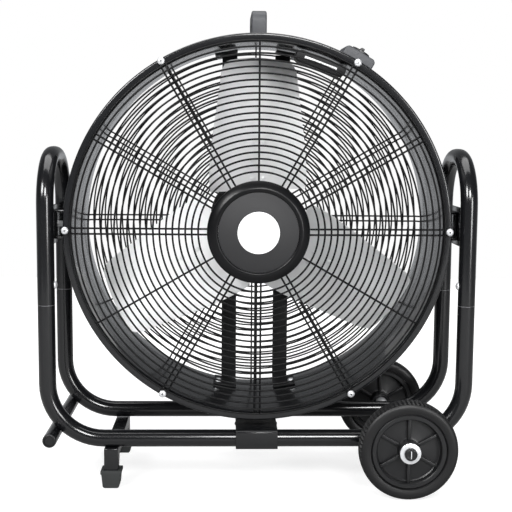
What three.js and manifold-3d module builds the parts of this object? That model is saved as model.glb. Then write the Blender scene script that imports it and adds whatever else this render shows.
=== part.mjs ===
// Mobile drum fan: a tilting drum with guards, motor and three blades, held between two
// tube arches on a lower tube frame that stands on two wheels and two rubber feet.
// Millimetres. X to the right seen from the front, Y to the back, Z up, origin on the floor.
import * as THREE from 'three';
import { mergeVertices } from 'three/addons/utils/BufferGeometryUtils.js';
import Module from 'manifold-3d';

const wasm = await Module();
wasm.setup();

// ---------------------------------------------------------------- clearances
const SEAT_GAP = 0.3;            // between pieces that touch
const RUNNING_GAP = 0.4;         // radial, round the axle and other turning fits

// ---------------------------------------------------------------- stand
const TUBE_RADIUS = 15;
const TUBE_WALL = 1.5;
const TUBE_SIDES = 10;
const FRAME_SPACING = 198;       // front tubes to rear tubes, centre to centre
const RIM_TO_TUBE = 16.5;        // legs stand clear of the drum's rim by this
const AXLE_HEIGHT = 85;          // lower tubes and wheel axle above the floor
const LOWER_BEND_RADIUS = 98;
const SEAM_RISE = 238;           // where the arches plug on, above the lower tubes
const PLUG_LENGTH = 60;
const PLUG_CLEARANCE = 0.8;
const PLUG_WALL = 1.5;
const ARCH_RISE = 125;           // centre of the tube at the top of an arch, above the pivots
const ARCH_BEND_RADIUS = 88;
const ARCH_BOLT_RISE = 35;       // bolts above the seam
const BEND_STEPS = 5;

const CROSS_MEMBER_WIDTH = 74;
const CROSS_MEMBER_SHEET = 2;
const CROSS_MEMBER_LIP = 0.5;    // skirt below the tube

const FOOT_INSET = 111;          // foot rail from the left legs
const FOOT_RAIL_WIDTH = 25;
const FOOT_RAIL_HEIGHT = 18;
const FOOT_RAIL_SHEET = 2.5;
const FOOT_LEG_DEPTH = 24;
const FOOT_LEG_OVERHANG = 15;    // leg's outer face beyond the tube's centre
const FOOT_HEIGHT = 31;
const FOOT_FLOOR = 12;           // rubber under the leg
const FOOT_TOP_WIDTH = 37;
const FOOT_BASE_WIDTH = 28;
const FOOT_RIM_HEIGHT = 6;
const FOOT_WALL = 5;

const LIFT_BAR_RADIUS = 12;
const LIFT_BAR_WALL = 1.5;
const LIFT_BAR_LENGTH = 300;
const LIFT_BAR_ANGLE = 45;       // round the lower left bend, degrees below level
const LIFT_CAP_THICKNESS = 3;
const LIFT_CAP_SPIGOT = 14;

// ---------------------------------------------------------------- axle and wheels
const AXLE_INSET = 109;          // axle from the right legs
const AXLE_RADIUS = 8;
const WHEEL_SPACING = 335;       // middle of the front wheel to middle of the rear one
const TYRE_WIDTH = 40;
const TYRE_DEPTH = 20;           // rubber outside the rim
const TYRE_GROUND_GAP = 0;       // the tyres touch the floor
const HUB_WIDTH = 48;
const HUB_RADIUS = 19;
const RIM_RING_THICKNESS = 9;
const RIM_RING_WIDTH = 34;
const WEB_THICKNESS = 6;
const SPOKE_COUNT = 6;
const SPOKE_THICKNESS = 7;
const SPOKE_DEPTH = 20;
const WASHER_RADIUS = 18;
const WASHER_THICKNESS = 2.5;
const SPACER_RADIUS = 12;
const AXLE_CAP_RADIUS = 10.8;
const AXLE_CAP_LENGTH = 7;
const AXLE_END_LENGTH = 4;       // axle inside its cap
const AXLE_CAP_SLOT = 2;

// ---------------------------------------------------------------- drum
const DRUM_FLOOR_GAP = 1.5;      // between the turning drum and the cross member
const DRUM_TILT = 1.3;           // degrees, front edge down
const BARREL_RADIUS = 320;       // inside
const SHEET = 2;
const DRUM_DEPTH = 222;
const RIM_RISE = 15.5;           // rim's edge outside the barrel
const RIM_LIP_RISE = 6.5;        // inside edge of the front face
const RIM_ROLL_DEPTH = 12;
const FLARE_DEPTH = 15;
const DRUM_SEGMENTS = 36;

const RIM_SCREW_RISE = 11;       // circle of the guard screws
const RIM_SCREW_COUNT = 6;
const SCREW_HEAD_RADIUS = 6.4;
const SCREW_HEAD_HEIGHT = 4;
const SCREW_SHANK_RADIUS = 2.4;
const SCREW_SHANK_LENGTH = 10;

// ---------------------------------------------------------------- guards
const WIRE_RADIUS = 1.7;
const RING_RADIUS = 1.9;
const GUARD_HUB_RADIUS = 86;
const FIRST_RING_RADIUS = 103;
const GUARD_RING_COUNT = 21;
const GUARD_DOME = 10;           // hub ahead of the rim
const GUARD_EDGE_WIDTH = 10;     // just inside the last ring the wires fall back to the rim
const WIRE_PAIR_SPACING = 9.6;
const WELD_DEPTH = 1.2;          // single wires sunk into the rings they carry
const LOOP_STEPS = 5;
const GUARD_SEGMENTS = 16;
const REAR_RING_STEP = 2;        // the rear guard keeps every second ring
const HUB_PLATE_INNER = 72;
const REAR_HUB_INNER = 0;        // the rear hub plate is a full disc
const HUB_PLATE_THICKNESS = 2.5;

const CAP_RADIUS = 88;
const CAP_FACE_RADIUS = 69;
const CAP_HEIGHT = 13;
const CAP_RECESS = 2;
const CAP_WALL = 3;
const BADGE_RADIUS = 36;
const BADGE_THICKNESS = 1.5;

// ---------------------------------------------------------------- motor and blades
const MOTOR_RADIUS = 75;
const MOTOR_LENGTH = 60;
const MOTOR_BACK = 86;           // back face behind the drum's middle
const STRUT_SPACING = 99;
const STRUT_WIDTH = 28;
const STRUT_THICKNESS = 6;
const STRUT_FOOT_WIDTH = 42;
const STRUT_FOOT_DEPTH = 60;
const STRUT_FOOT_THICKNESS = 4;
const SHAFT_RADIUS = 7;
const SHAFT_AHEAD = 34;          // shaft end ahead of the motor's front face
const SPIDER_HUB_RADIUS = 30;
const SPIDER_HUB_DEPTH = 20;
const SPIDER_GAP = 5;            // spider hub ahead of the motor
const SPIDER_ARM_LENGTH = 168;
const SPIDER_ARM_WIDTH = 46;
const SPIDER_ARM_THICKNESS = 4;
const BLADE_COUNT = 3;
const BLADE_START = 90;          // first blade straight up, degrees
const BLADE_ROOT = 62;
const BLADE_TIP_GAP = 20;        // tips clear of the barrel
const BLADE_ROOT_CHORD = 226;
const BLADE_TIP_CHORD = 153;
const BLADE_PITCH = 30;          // degrees
const BLADE_CAMBER = 12;
const BLADE_THICKNESS = 2;

// ---------------------------------------------------------------- pieces on the drum
const HANDLE_WIDTH = 26;
const HANDLE_FOOT_WIDTH = 33;
const HANDLE_LENGTH = 150;
const HANDLE_RISE = 54;          // above the barrel's outside
const HANDLE_BAR = 17;
const HANDLE_FOOT_LENGTH = 26;
const HANDLE_FOOT_THICKNESS = 5;
const HANDLE_CORNER = 14;

const BOX_ANGLE = 60;            // control box round the drum, degrees from +X
const BOX_WIDTH = 58;
const BOX_HEIGHT = 31;
const BOX_LENGTH = 90;
const BOX_FRONT = -80;
const BOX_BEVEL = 4;
const KNOB_RADIUS = 17;
const KNOB_HEIGHT = 9;
const KNOB_GRIP_HEIGHT = 7;
const KNOB_FROM_FRONT = 30;
const KNOB_STEM_RADIUS = 4;
const KNOB_STEM_LENGTH = 5;
const INLET_RADIUS = 8;
const INLET_LENGTH = 16;

const WIRING_ANGLE = 70;         // wiring box inside the drum
const WIRING_WIDTH = 92;
const WIRING_HEIGHT = 25;
const WIRING_LENGTH = 55;
const WIRING_FRONT = -100;

// ---------------------------------------------------------------- drum pivots
const PLATE_HEIGHT = 70;
const PLATE_THICKNESS = 4;
const PIVOT_BOLT_RADIUS = 6;
const PIVOT_HEAD_RADIUS = 11;
const PIVOT_HEAD_HEIGHT = 7;
const BRACKET_HEIGHT = 96;
const BRACKET_DEPTH = 40;
const BRACKET_SHEET = 4;
const BRACKET_CHANNEL = 52;      // height of the raised part
const BRACKET_BOLT_LENGTH = 8;   // bolt inside the bracket, behind its face
const BOLT_HEAD_RADIUS = 7;
const BOLT_HEAD_HEIGHT = 4.5;
const BOLT_SHANK_RADIUS = 3;

// ---------------------------------------------------------------- worked-out places
const FRAME_Y = FRAME_SPACING / 2;
const RIM_RADIUS = BARREL_RADIUS + RIM_RISE;
const RIM_LIP_RADIUS = BARREL_RADIUS + RIM_LIP_RISE;
const RIM_SCREW_RADIUS = BARREL_RADIUS + RIM_SCREW_RISE;
const LEG_X = RIM_RADIUS + RIM_TO_TUBE + TUBE_RADIUS;
const FOOT_X = -LEG_X + FOOT_INSET;
const AXLE_X = LEG_X - AXLE_INSET;
const SEAM_HEIGHT = AXLE_HEIGHT + SEAM_RISE;
const SADDLE_TOP = AXLE_HEIGHT + TUBE_RADIUS + SEAT_GAP + CROSS_MEMBER_SHEET;
const DRUM_SWEEP = Math.hypot(RIM_RADIUS, DRUM_DEPTH / 2 - SHEET);
const PIVOT_HEIGHT = SADDLE_TOP + DRUM_FLOOR_GAP + DRUM_SWEEP;
const ARCH_HEIGHT = PIVOT_HEIGHT + ARCH_RISE;
const BLADE_TIP = BARREL_RADIUS - BLADE_TIP_GAP;
const WHEEL_RADIUS = AXLE_HEIGHT - TYRE_GROUND_GAP;
const TYRE_INNER_RADIUS = WHEEL_RADIUS - TYRE_DEPTH;
const WHEEL_Y = WHEEL_SPACING / 2;
const BORE_RADIUS = TUBE_RADIUS - TUBE_WALL;
const PLUG_RADIUS = BORE_RADIUS - PLUG_CLEARANCE;
const HALF_DEPTH = DRUM_DEPTH / 2;
const BARREL_OUTSIDE = BARREL_RADIUS + SHEET;
const WIRE_LANDING = RIM_SCREW_RADIUS - SCREW_HEAD_RADIUS - 1;   // wires lie on the rim from here
const GUARD_OUTER_RADIUS = WIRE_LANDING - SEAT_GAP * 2;
const GUARD_EDGE = GUARD_OUTER_RADIUS - GUARD_EDGE_WIDTH;
const GUARD_RING_PITCH = (GUARD_OUTER_RADIUS - FIRST_RING_RADIUS) / (GUARD_RING_COUNT - 1);
const HANDLE_TOP = BARREL_OUTSIDE + HANDLE_RISE;
const MOTOR_FRONT = MOTOR_BACK - MOTOR_LENGTH;
const SPIDER_BACK = MOTOR_FRONT - SPIDER_GAP;
const SPIDER_MIDDLE = SPIDER_BACK - SPIDER_HUB_DEPTH / 2;
const PLATE_INNER_X = LEG_X - PLATE_THICKNESS / 2;
const degrees = THREE.MathUtils.degToRad;

// ---------------------------------------------------------------- materials
function finish(color, roughness, metalness) {
  return new THREE.MeshStandardMaterial({ color, roughness, metalness });
}
const FINISHES = {
  gloss_black_paint: () => finish(0x17181a, 0.25, 0.1),
  black_wire: () => finish(0x121314, 0.4, 0.1),
  zinc: () => finish(0xc9ccd0, 0.3, 0.9),
  rubber: () => finish(0x262626, 0.85, 0),
  black_plastic: () => finish(0x1d1e20, 0.5, 0),
  grey_plastic: () => finish(0x4c4d52, 0.55, 0),
  aluminium: () => finish(0xd8dadd, 0.35, 0.8),
  dark_steel: () => finish(0x3a3b3e, 0.45, 0.5),
  white_badge: () => finish(0xf2f2f2, 0.4, 0),
};

// ---------------------------------------------------------------- solid helpers
function solid(geometry) {
  const bare = geometry.index ? geometry.toNonIndexed() : geometry.clone();
  bare.deleteAttribute('normal');
  bare.deleteAttribute('uv');
  const merged = mergeVertices(bare, 1e-4);
  return new wasm.Manifold(new wasm.Mesh({
    numProp: 3,
    vertProperties: new Float32Array(merged.attributes.position.array),
    triVerts: new Uint32Array(merged.index.array),
  }));
}

function geometryOf(manifold) {
  const mesh = manifold.getMesh();
  const geometry = new THREE.BufferGeometry();
  geometry.setAttribute('position', new THREE.BufferAttribute(mesh.vertProperties, 3));
  geometry.setIndex(new THREE.BufferAttribute(mesh.triVerts, 1));
  return geometry;
}

const joined = (first, ...rest) => geometryOf(rest.reduce((sum, g) => sum.add(solid(g)), solid(first)));
const cut = (first, ...tools) => geometryOf(tools.reduce((rest, g) => rest.subtract(solid(g)), solid(first)));

// Turns a closed outline of [radius, height] points round the Y axis.
function turned(outline, segments) {
  let area = 0;
  outline.forEach(([r, y], i) => {
    const [nextR, nextY] = outline[(i + 1) % outline.length];
    area += r * nextY - nextR * y;
  });
  const ordered = area > 0 ? outline : [...outline].reverse();
  const points = ordered.map(([r, y]) => new THREE.Vector2(r, y));
  points.push(points[0].clone());
  return new THREE.LatheGeometry(points, segments);
}

// A disc or rod along Y from one height to another.
function rod(radius, from, to, sides) {
  const geometry = new THREE.CylinderGeometry(radius, radius, to - from, sides);
  return geometry.translate(0, (from + to) / 2, 0);
}

function ring(inner, outer, from, to, sides) {
  return turned([[inner, from], [outer, from], [outer, to], [inner, to]], sides);
}

function box(sizeX, sizeY, sizeZ, x = 0, y = 0, z = 0) {
  return new THREE.BoxGeometry(sizeX, sizeY, sizeZ).translate(x, y, z);
}

// An outline of [y, z] points pushed out along X to a width centred on x.
function slab(outline, width, x = 0) {
  const shape = new THREE.Shape(outline.map(([y, z]) => new THREE.Vector2(y, z)));
  const geometry = new THREE.ExtrudeGeometry(shape, { depth: width, bevelEnabled: false });
  geometry.applyMatrix4(new THREE.Matrix4().set(0, 0, 1, 0, 1, 0, 0, 0, 0, 1, 0, 0, 0, 0, 0, 1));
  return geometry.translate(x - width / 2, 0, 0);
}

const alongX = (geometry) => geometry.rotateZ(-Math.PI / 2);
const alongZ = (geometry) => geometry.rotateX(Math.PI / 2);

// ---------------------------------------------------------------- bent tubes
// A path of straights and round bends whose stations are given one by one.
class BentPath extends THREE.Curve {
  constructor(stations) {
    super();
    this.stations = stations;
  }

  station(u) {
    return this.stations[Math.round(u * (this.stations.length - 1))];
  }

  getPoint(u, target = new THREE.Vector3()) {
    return target.copy(this.station(u).point);
  }

  getPointAt(u, target) {
    return this.getPoint(u, target);
  }

  getTangentAt(u, target = new THREE.Vector3()) {
    return target.copy(this.station(u).tangent);
  }
}

// Stations through corner points, each inner corner rounded to the radius.
function bentStations(corners, radius) {
  const stations = [];
  const direction = (a, b) => b.clone().sub(a).normalize();
  corners.forEach((corner, i) => {
    if (i === 0 || i === corners.length - 1) {
      const [a, b] = i === 0 ? [corners[0], corners[1]] : corners.slice(-2);
      stations.push({ point: corner.clone(), tangent: direction(a, b) });
      return;
    }
    const into = direction(corners[i - 1], corner);
    const out = direction(corner, corners[i + 1]);
    const turn = into.angleTo(out);
    const centre = corner.clone().add(out.clone().sub(into).normalize()
      .multiplyScalar(radius / Math.cos(turn / 2)));
    const axis = into.clone().cross(out).normalize();
    const start = corner.clone().addScaledVector(into, -radius * Math.tan(turn / 2)).sub(centre);
    for (let step = 0; step <= BEND_STEPS; step += 1) {
      const angle = turn * step / BEND_STEPS;
      stations.push({
        point: start.clone().applyAxisAngle(axis, angle).add(centre),
        tangent: into.clone().applyAxisAngle(axis, angle),
      });
    }
  });
  return stations;
}

function circlePoints(radius, sides) {
  return Array.from({ length: sides }, (_, i) => {
    const angle = 2 * Math.PI * (i + 0.5) / sides;
    return new THREE.Vector2(radius * Math.cos(angle), radius * Math.sin(angle));
  });
}

function bentTube(corners, bendRadius, radius, wall, sides) {
  const stations = bentStations(corners, bendRadius);
  const section = new THREE.Shape(circlePoints(radius, sides));
  section.holes.push(new THREE.Path(circlePoints(radius - wall, sides).reverse()));
  return new THREE.ExtrudeGeometry(section, {
    steps: stations.length - 1,
    extrudePath: new BentPath(stations),
    bevelEnabled: false,
  });
}

const at = (x, y, z) => new THREE.Vector3(x, y, z);

// ---------------------------------------------------------------- scene graph
const fan = new THREE.Group();
const drumGroup = new THREE.Group();
drumGroup.position.z = PIVOT_HEIGHT;
drumGroup.rotation.x = degrees(DRUM_TILT);
fan.add(drumGroup);

function place(group, name, geometry, finishName) {
  const mesh = new THREE.Mesh(geometry, FINISHES[finishName]());
  mesh.name = name;
  group.add(mesh);
  return mesh;
}

// ---------------------------------------------------------------- lower frames and arches
function plugEnd(x, y) {
  const sleeve = turned([
    [PLUG_RADIUS - PLUG_WALL, -10], [TUBE_RADIUS - TUBE_WALL / 2, -10],
    [TUBE_RADIUS - TUBE_WALL / 2, -3], [PLUG_RADIUS, -3],
    [PLUG_RADIUS, PLUG_LENGTH], [PLUG_RADIUS - PLUG_WALL, PLUG_LENGTH],
  ], TUBE_SIDES);
  return alongZ(sleeve).translate(x, y, SEAM_HEIGHT);
}

function lowerFrame(y) {
  const tube = bentTube([
    at(-LEG_X, y, SEAM_HEIGHT), at(-LEG_X, y, AXLE_HEIGHT),
    at(LEG_X, y, AXLE_HEIGHT), at(LEG_X, y, SEAM_HEIGHT),
  ], LOWER_BEND_RADIUS, TUBE_RADIUS, TUBE_WALL, TUBE_SIDES);
  const axleHole = rod(AXLE_RADIUS + RUNNING_GAP, y - TUBE_RADIUS - 5, y + TUBE_RADIUS + 5, TUBE_SIDES)
    .translate(AXLE_X, 0, AXLE_HEIGHT);
  const boltHoles = [-1, 1].map((side) => alongX(rod(BOLT_SHANK_RADIUS + RUNNING_GAP,
    -TUBE_RADIUS - 5, TUBE_RADIUS + 5, 8)).translate(side * LEG_X, y, SEAM_HEIGHT + ARCH_BOLT_RISE));
  const frame = joined(tube, plugEnd(-LEG_X, y), plugEnd(LEG_X, y));
  return cut(frame, axleHole, ...boltHoles);
}

function arch(x) {
  const foot = SEAM_HEIGHT + SEAT_GAP;
  const tube = bentTube([
    at(x, -FRAME_Y, foot), at(x, -FRAME_Y, ARCH_HEIGHT),
    at(x, FRAME_Y, ARCH_HEIGHT), at(x, FRAME_Y, foot),
  ], ARCH_BEND_RADIUS, TUBE_RADIUS, TUBE_WALL, TUBE_SIDES);
  const boltHoles = [-FRAME_Y, FRAME_Y].map((y) => alongX(rod(BOLT_SHANK_RADIUS + RUNNING_GAP,
    -TUBE_RADIUS - 5, TUBE_RADIUS + 5, 8)).translate(x, y, SEAM_HEIGHT + ARCH_BOLT_RISE));
  return cut(tube, ...boltHoles);
}

place(fan, 'front_lower_frame', lowerFrame(-FRAME_Y), 'gloss_black_paint');
place(fan, 'rear_lower_frame', lowerFrame(FRAME_Y), 'gloss_black_paint');
place(fan, 'left_arch', arch(-LEG_X), 'gloss_black_paint');
place(fan, 'right_arch', arch(LEG_X), 'gloss_black_paint');

// Round-headed bolt along Y: head on the -Y side of the seat at y = 0, shank behind it.
function bolt(headRadius, headHeight, shankRadius, shankLength, sides = 8) {
  return turned([
    [0, -headHeight], [headRadius * 0.6, -headHeight], [headRadius, -headHeight * 0.4],
    [headRadius, 0], [shankRadius, 0], [shankRadius, shankLength], [0, shankLength],
  ], sides);
}

for (const [side, sideName] of [[-1, 'left'], [1, 'right']]) {
  for (const [y, endName] of [[-FRAME_Y, 'front'], [FRAME_Y, 'rear']]) {
    const geometry = bolt(BOLT_HEAD_RADIUS, BOLT_HEAD_HEIGHT, BOLT_SHANK_RADIUS,
      2 * TUBE_RADIUS + SEAT_GAP);
    const mesh = place(fan, `arch_bolt_${endName}_${sideName}`, geometry, 'zinc');
    mesh.rotation.z = -side * Math.PI / 2;
    mesh.position.set(side * (LEG_X - TUBE_RADIUS - SEAT_GAP), y, SEAM_HEIGHT + ARCH_BOLT_RISE);
  }
}

// ---------------------------------------------------------------- cross member
const saddleInner = FRAME_Y + TUBE_RADIUS + SEAT_GAP;
const saddleOuter = saddleInner + CROSS_MEMBER_SHEET;
const saddleUnder = AXLE_HEIGHT + TUBE_RADIUS + SEAT_GAP;
const saddleFoot = AXLE_HEIGHT - TUBE_RADIUS - CROSS_MEMBER_LIP;
place(fan, 'cross_member', slab([
  [-saddleOuter, saddleFoot], [-saddleInner, saddleFoot], [-saddleInner, saddleUnder],
  [saddleInner, saddleUnder], [saddleInner, saddleFoot], [saddleOuter, saddleFoot],
  [saddleOuter, SADDLE_TOP], [-saddleOuter, SADDLE_TOP],
], CROSS_MEMBER_WIDTH), 'gloss_black_paint');

// ---------------------------------------------------------------- foot rail and rubber feet
const railTop = AXLE_HEIGHT - TUBE_RADIUS - SEAT_GAP;
const railUnder = railTop - FOOT_RAIL_HEIGHT;
const legOuter = FRAME_Y + FOOT_LEG_OVERHANG;
const legInner = legOuter - FOOT_LEG_DEPTH;
const legFoot = FOOT_FLOOR + SEAT_GAP;
const gussetFoot = FOOT_HEIGHT + SEAT_GAP;

function footRail() {
  const rail = slab([
    [-legOuter, legFoot], [-legInner, legFoot], [-legInner, gussetFoot],
    [-legInner + FOOT_RAIL_HEIGHT / 2, railUnder], [legInner - FOOT_RAIL_HEIGHT / 2, railUnder],
    [legInner, gussetFoot], [legInner, legFoot], [legOuter, legFoot],
    [legOuter, railTop], [-legOuter, railTop],
  ], FOOT_RAIL_WIDTH, FOOT_X);
  const channel = box(FOOT_RAIL_WIDTH - 2 * FOOT_RAIL_SHEET, 2 * legInner,
    FOOT_RAIL_HEIGHT * 4, FOOT_X, 0, railTop - FOOT_RAIL_SHEET - FOOT_RAIL_HEIGHT * 2);
  return cut(rail, channel);
}

function rubberFoot(y) {
  const half = [FOOT_BASE_WIDTH / 2, FOOT_TOP_WIDTH / 2];
  const profile = new THREE.Shape([
    new THREE.Vector2(-half[0], 0), new THREE.Vector2(half[0], 0),
    new THREE.Vector2(half[1], FOOT_HEIGHT - FOOT_RIM_HEIGHT), new THREE.Vector2(half[1], FOOT_HEIGHT),
    new THREE.Vector2(-half[1], FOOT_HEIGHT), new THREE.Vector2(-half[1], FOOT_HEIGHT - FOOT_RIM_HEIGHT),
  ]);
  const depth = FOOT_LEG_DEPTH + 2 * (FOOT_WALL + SEAT_GAP);
  const block = new THREE.ExtrudeGeometry(profile, { depth, bevelEnabled: false });
  block.rotateX(Math.PI / 2).translate(FOOT_X, y + depth / 2, 0);
  const socket = box(FOOT_RAIL_WIDTH + 2 * SEAT_GAP, FOOT_LEG_DEPTH + 2 * SEAT_GAP, FOOT_HEIGHT,
    FOOT_X, y, FOOT_FLOOR + FOOT_HEIGHT / 2);
  return cut(block, socket);
}

place(fan, 'foot_rail', footRail(), 'gloss_black_paint');
const legY = (legOuter + legInner) / 2;
place(fan, 'front_foot', rubberFoot(-legY), 'rubber');
place(fan, 'rear_foot', rubberFoot(legY), 'rubber');

// ---------------------------------------------------------------- lift bar
const bendX = -LEG_X + LOWER_BEND_RADIUS;
const bendZ = AXLE_HEIGHT + LOWER_BEND_RADIUS;
const bendFacet = 90 / BEND_STEPS;
const bendOutside = (LOWER_BEND_RADIUS + TUBE_RADIUS) * Math.cos(degrees(bendFacet / 2))
  / Math.cos(degrees((LIFT_BAR_ANGLE % bendFacet) - bendFacet / 2));
const liftReach = bendOutside + LIFT_BAR_RADIUS + SEAT_GAP;
const LIFT_X = bendX - liftReach * Math.cos(degrees(LIFT_BAR_ANGLE));
const LIFT_Z = bendZ - liftReach * Math.sin(degrees(LIFT_BAR_ANGLE));
const liftHalf = LIFT_BAR_LENGTH / 2;
const liftBore = LIFT_BAR_RADIUS - LIFT_BAR_WALL;
place(fan, 'lift_bar', ring(liftBore, LIFT_BAR_RADIUS, -liftHalf, liftHalf, TUBE_SIDES),
  'gloss_black_paint').position.set(LIFT_X, 0, LIFT_Z);
for (const [side, endName] of [[-1, 'front'], [1, 'rear']]) {
  const spigot = liftBore - PLUG_CLEARANCE;
  const cap = turned([
    [0, -LIFT_CAP_THICKNESS], [LIFT_BAR_RADIUS - 1, -LIFT_CAP_THICKNESS],
    [LIFT_BAR_RADIUS, -LIFT_CAP_THICKNESS + 1], [LIFT_BAR_RADIUS, 0],
    [spigot, 0], [spigot, LIFT_CAP_SPIGOT], [0, LIFT_CAP_SPIGOT],
  ], TUBE_SIDES);
  const mesh = place(fan, `lift_bar_cap_${endName}`, cap, 'black_plastic');
  mesh.rotation.z = side < 0 ? 0 : Math.PI;
  mesh.position.set(LIFT_X, side * (liftHalf + SEAT_GAP), LIFT_Z);
}

// ---------------------------------------------------------------- axle and wheels
const hubInner = WHEEL_Y - HUB_WIDTH / 2;
const hubOuter = WHEEL_Y + HUB_WIDTH / 2;
const washerInner = hubOuter + SEAT_GAP;
const washerOuter = washerInner + WASHER_THICKNESS;
const capInner = washerOuter + SEAT_GAP;
const axleHalf = capInner + AXLE_END_LENGTH;
const axleBore = AXLE_RADIUS + RUNNING_GAP;
place(fan, 'axle', rod(AXLE_RADIUS, -axleHalf, axleHalf, TUBE_SIDES), 'zinc')
  .position.set(AXLE_X, 0, AXLE_HEIGHT);

function wheelRim() {
  const ringInner = TYRE_INNER_RADIUS - SEAT_GAP - RIM_RING_THICKNESS;
  const ringOuter = TYRE_INNER_RADIUS - SEAT_GAP;
  const halfHub = HUB_WIDTH / 2;
  const halfRing = RIM_RING_WIDTH / 2;
  const halfWeb = WEB_THICKNESS / 2;
  const disc = turned([
    [axleBore, -halfHub], [HUB_RADIUS, -halfHub], [HUB_RADIUS, -halfWeb], [ringInner, -halfWeb],
    [ringInner, -halfRing], [ringOuter, -halfRing], [ringOuter, halfRing], [ringInner, halfRing],
    [ringInner, halfWeb], [HUB_RADIUS, halfWeb], [HUB_RADIUS, halfHub], [axleBore, halfHub],
  ], 20);
  const spokes = Array.from({ length: SPOKE_COUNT / 2 }, (_, i) => {
    const spoke = box(2 * ringInner + RIM_RING_THICKNESS, SPOKE_DEPTH, SPOKE_THICKNESS);
    return spoke.rotateY(Math.PI * i / (SPOKE_COUNT / 2));
  });
  return cut(joined(disc, ...spokes), rod(axleBore, -HUB_WIDTH, HUB_WIDTH, 20));
}

function tyre() {
  const half = TYRE_WIDTH / 2;
  const shoulder = 4;
  return turned([
    [TYRE_INNER_RADIUS, -half + 2], [TYRE_INNER_RADIUS + 2, -half], [WHEEL_RADIUS - shoulder, -half],
    [WHEEL_RADIUS, -half + shoulder * 1.5], [WHEEL_RADIUS, half - shoulder * 1.5],
    [WHEEL_RADIUS - shoulder, half], [TYRE_INNER_RADIUS + 2, half], [TYRE_INNER_RADIUS, half - 2],
  ], 32);
}

function axleCap() {
  const cap = turned([
    [0, -AXLE_CAP_LENGTH], [AXLE_CAP_RADIUS - 2, -AXLE_CAP_LENGTH], [AXLE_CAP_RADIUS, -AXLE_CAP_LENGTH + 2],
    [AXLE_CAP_RADIUS, 0], [axleBore, 0], [axleBore, AXLE_END_LENGTH * -1 - SEAT_GAP],
    [0, AXLE_END_LENGTH * -1 - SEAT_GAP],
  ], TUBE_SIDES);
  return cut(cap, box(AXLE_CAP_SLOT, 2, 3 * AXLE_CAP_RADIUS, 0, -AXLE_CAP_LENGTH, 0));
}

for (const [side, endName] of [[-1, 'front'], [1, 'rear']]) {
  const turn = side < 0 ? 0 : Math.PI;
  const onAxle = (name, geometry, finishName, distance) => {
    const mesh = place(fan, name, geometry, finishName);
    mesh.rotation.z = turn;
    mesh.position.set(AXLE_X, side * distance, AXLE_HEIGHT);
  };
  const spacerInner = FRAME_Y + TUBE_RADIUS + SEAT_GAP;
  onAxle(`${endName}_wheel_spacer`,
    ring(axleBore, SPACER_RADIUS, 0, hubInner - SEAT_GAP - spacerInner, TUBE_SIDES), 'zinc',
    hubInner - SEAT_GAP);
  onAxle(`${endName}_wheel_rim`, wheelRim(), 'black_plastic', WHEEL_Y);
  onAxle(`${endName}_tyre`, tyre(), 'rubber', WHEEL_Y);
  onAxle(`${endName}_wheel_washer`, ring(axleBore, WASHER_RADIUS, 0, WASHER_THICKNESS, 20), 'zinc',
    washerOuter);
  onAxle(`${endName}_axle_cap`, axleCap(), 'black_plastic', capInner);
}

// ---------------------------------------------------------------- drum shell
const barrelEnd = HALF_DEPTH - FLARE_DEPTH;

const circleAngles = (count, start) => Array.from({ length: count }, (_, i) => start + 360 * i / count);
const frontScrewAngles = circleAngles(RIM_SCREW_COUNT, 0);
const rearScrewAngles = frontScrewAngles.filter((angle) => angle % 180 !== 0);

function drumShell() {
  const half = [
    [BARREL_RADIUS, barrelEnd], [RIM_LIP_RADIUS, HALF_DEPTH - SHEET], [RIM_LIP_RADIUS + SHEET, HALF_DEPTH],
    [RIM_RADIUS - SHEET, HALF_DEPTH], [RIM_RADIUS, HALF_DEPTH - SHEET],
    [RIM_RADIUS, HALF_DEPTH - RIM_ROLL_DEPTH], [RIM_RADIUS - SHEET, HALF_DEPTH - RIM_ROLL_DEPTH],
    [RIM_RADIUS - SHEET, HALF_DEPTH - SHEET], [RIM_LIP_RADIUS + SHEET, HALF_DEPTH - SHEET],
    [BARREL_OUTSIDE, barrelEnd - 1],
  ];
  const mirrored = [...half].reverse().map(([r, y]) => [r, -y]);
  const shell = turned([...half, ...mirrored], DRUM_SEGMENTS);
  const hole = () => rod(SCREW_SHANK_RADIUS + SEAT_GAP, -SCREW_SHANK_LENGTH, SCREW_SHANK_LENGTH, 8);
  const frontHoles = rimPlaces(frontScrewAngles).map(([x, z]) => hole().translate(x, -HALF_DEPTH, z));
  const rearHoles = rimPlaces(rearScrewAngles).map(([x, z]) => hole().translate(x, HALF_DEPTH, z));
  return cut(shell, ...frontHoles, ...rearHoles);
}

function rimPlaces(angles) {
  return angles.map((angle) => [RIM_SCREW_RADIUS * Math.cos(degrees(angle)),
    RIM_SCREW_RADIUS * Math.sin(degrees(angle))]);
}

place(drumGroup, 'drum_shell', drumShell(), 'gloss_black_paint');

// ---------------------------------------------------------------- guards
const wireSeat = HALF_DEPTH + SEAT_GAP + WIRE_RADIUS;       // wires on the rim's face

// Distance of the wires from the drum's middle at a radius: flat centre, sloped edge.
function wireDepth(radius) {
  const share = Math.min(Math.max((WIRE_LANDING - radius) / (WIRE_LANDING - GUARD_EDGE), 0), 1);
  const flat = Math.max(GUARD_EDGE - radius, 0) / (GUARD_EDGE - GUARD_HUB_RADIUS);
  return wireSeat + GUARD_DOME * (0.7 * share + 0.3 * flat);
}

function wireThrough(corners) {
  const stations = corners.map((point, i) => ({
    point,
    tangent: corners[Math.min(i + 1, corners.length - 1)].clone()
      .sub(corners[Math.max(i - 1, 0)]).normalize(),
  }));
  return new THREE.ExtrudeGeometry(new THREE.Shape(circlePoints(WIRE_RADIUS * Math.SQRT2, 4)), {
    steps: stations.length - 1,
    extrudePath: new BentPath(stations),
    bevelEnabled: false,
  });
}

const wireStart = GUARD_HUB_RADIUS - 6;

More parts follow.
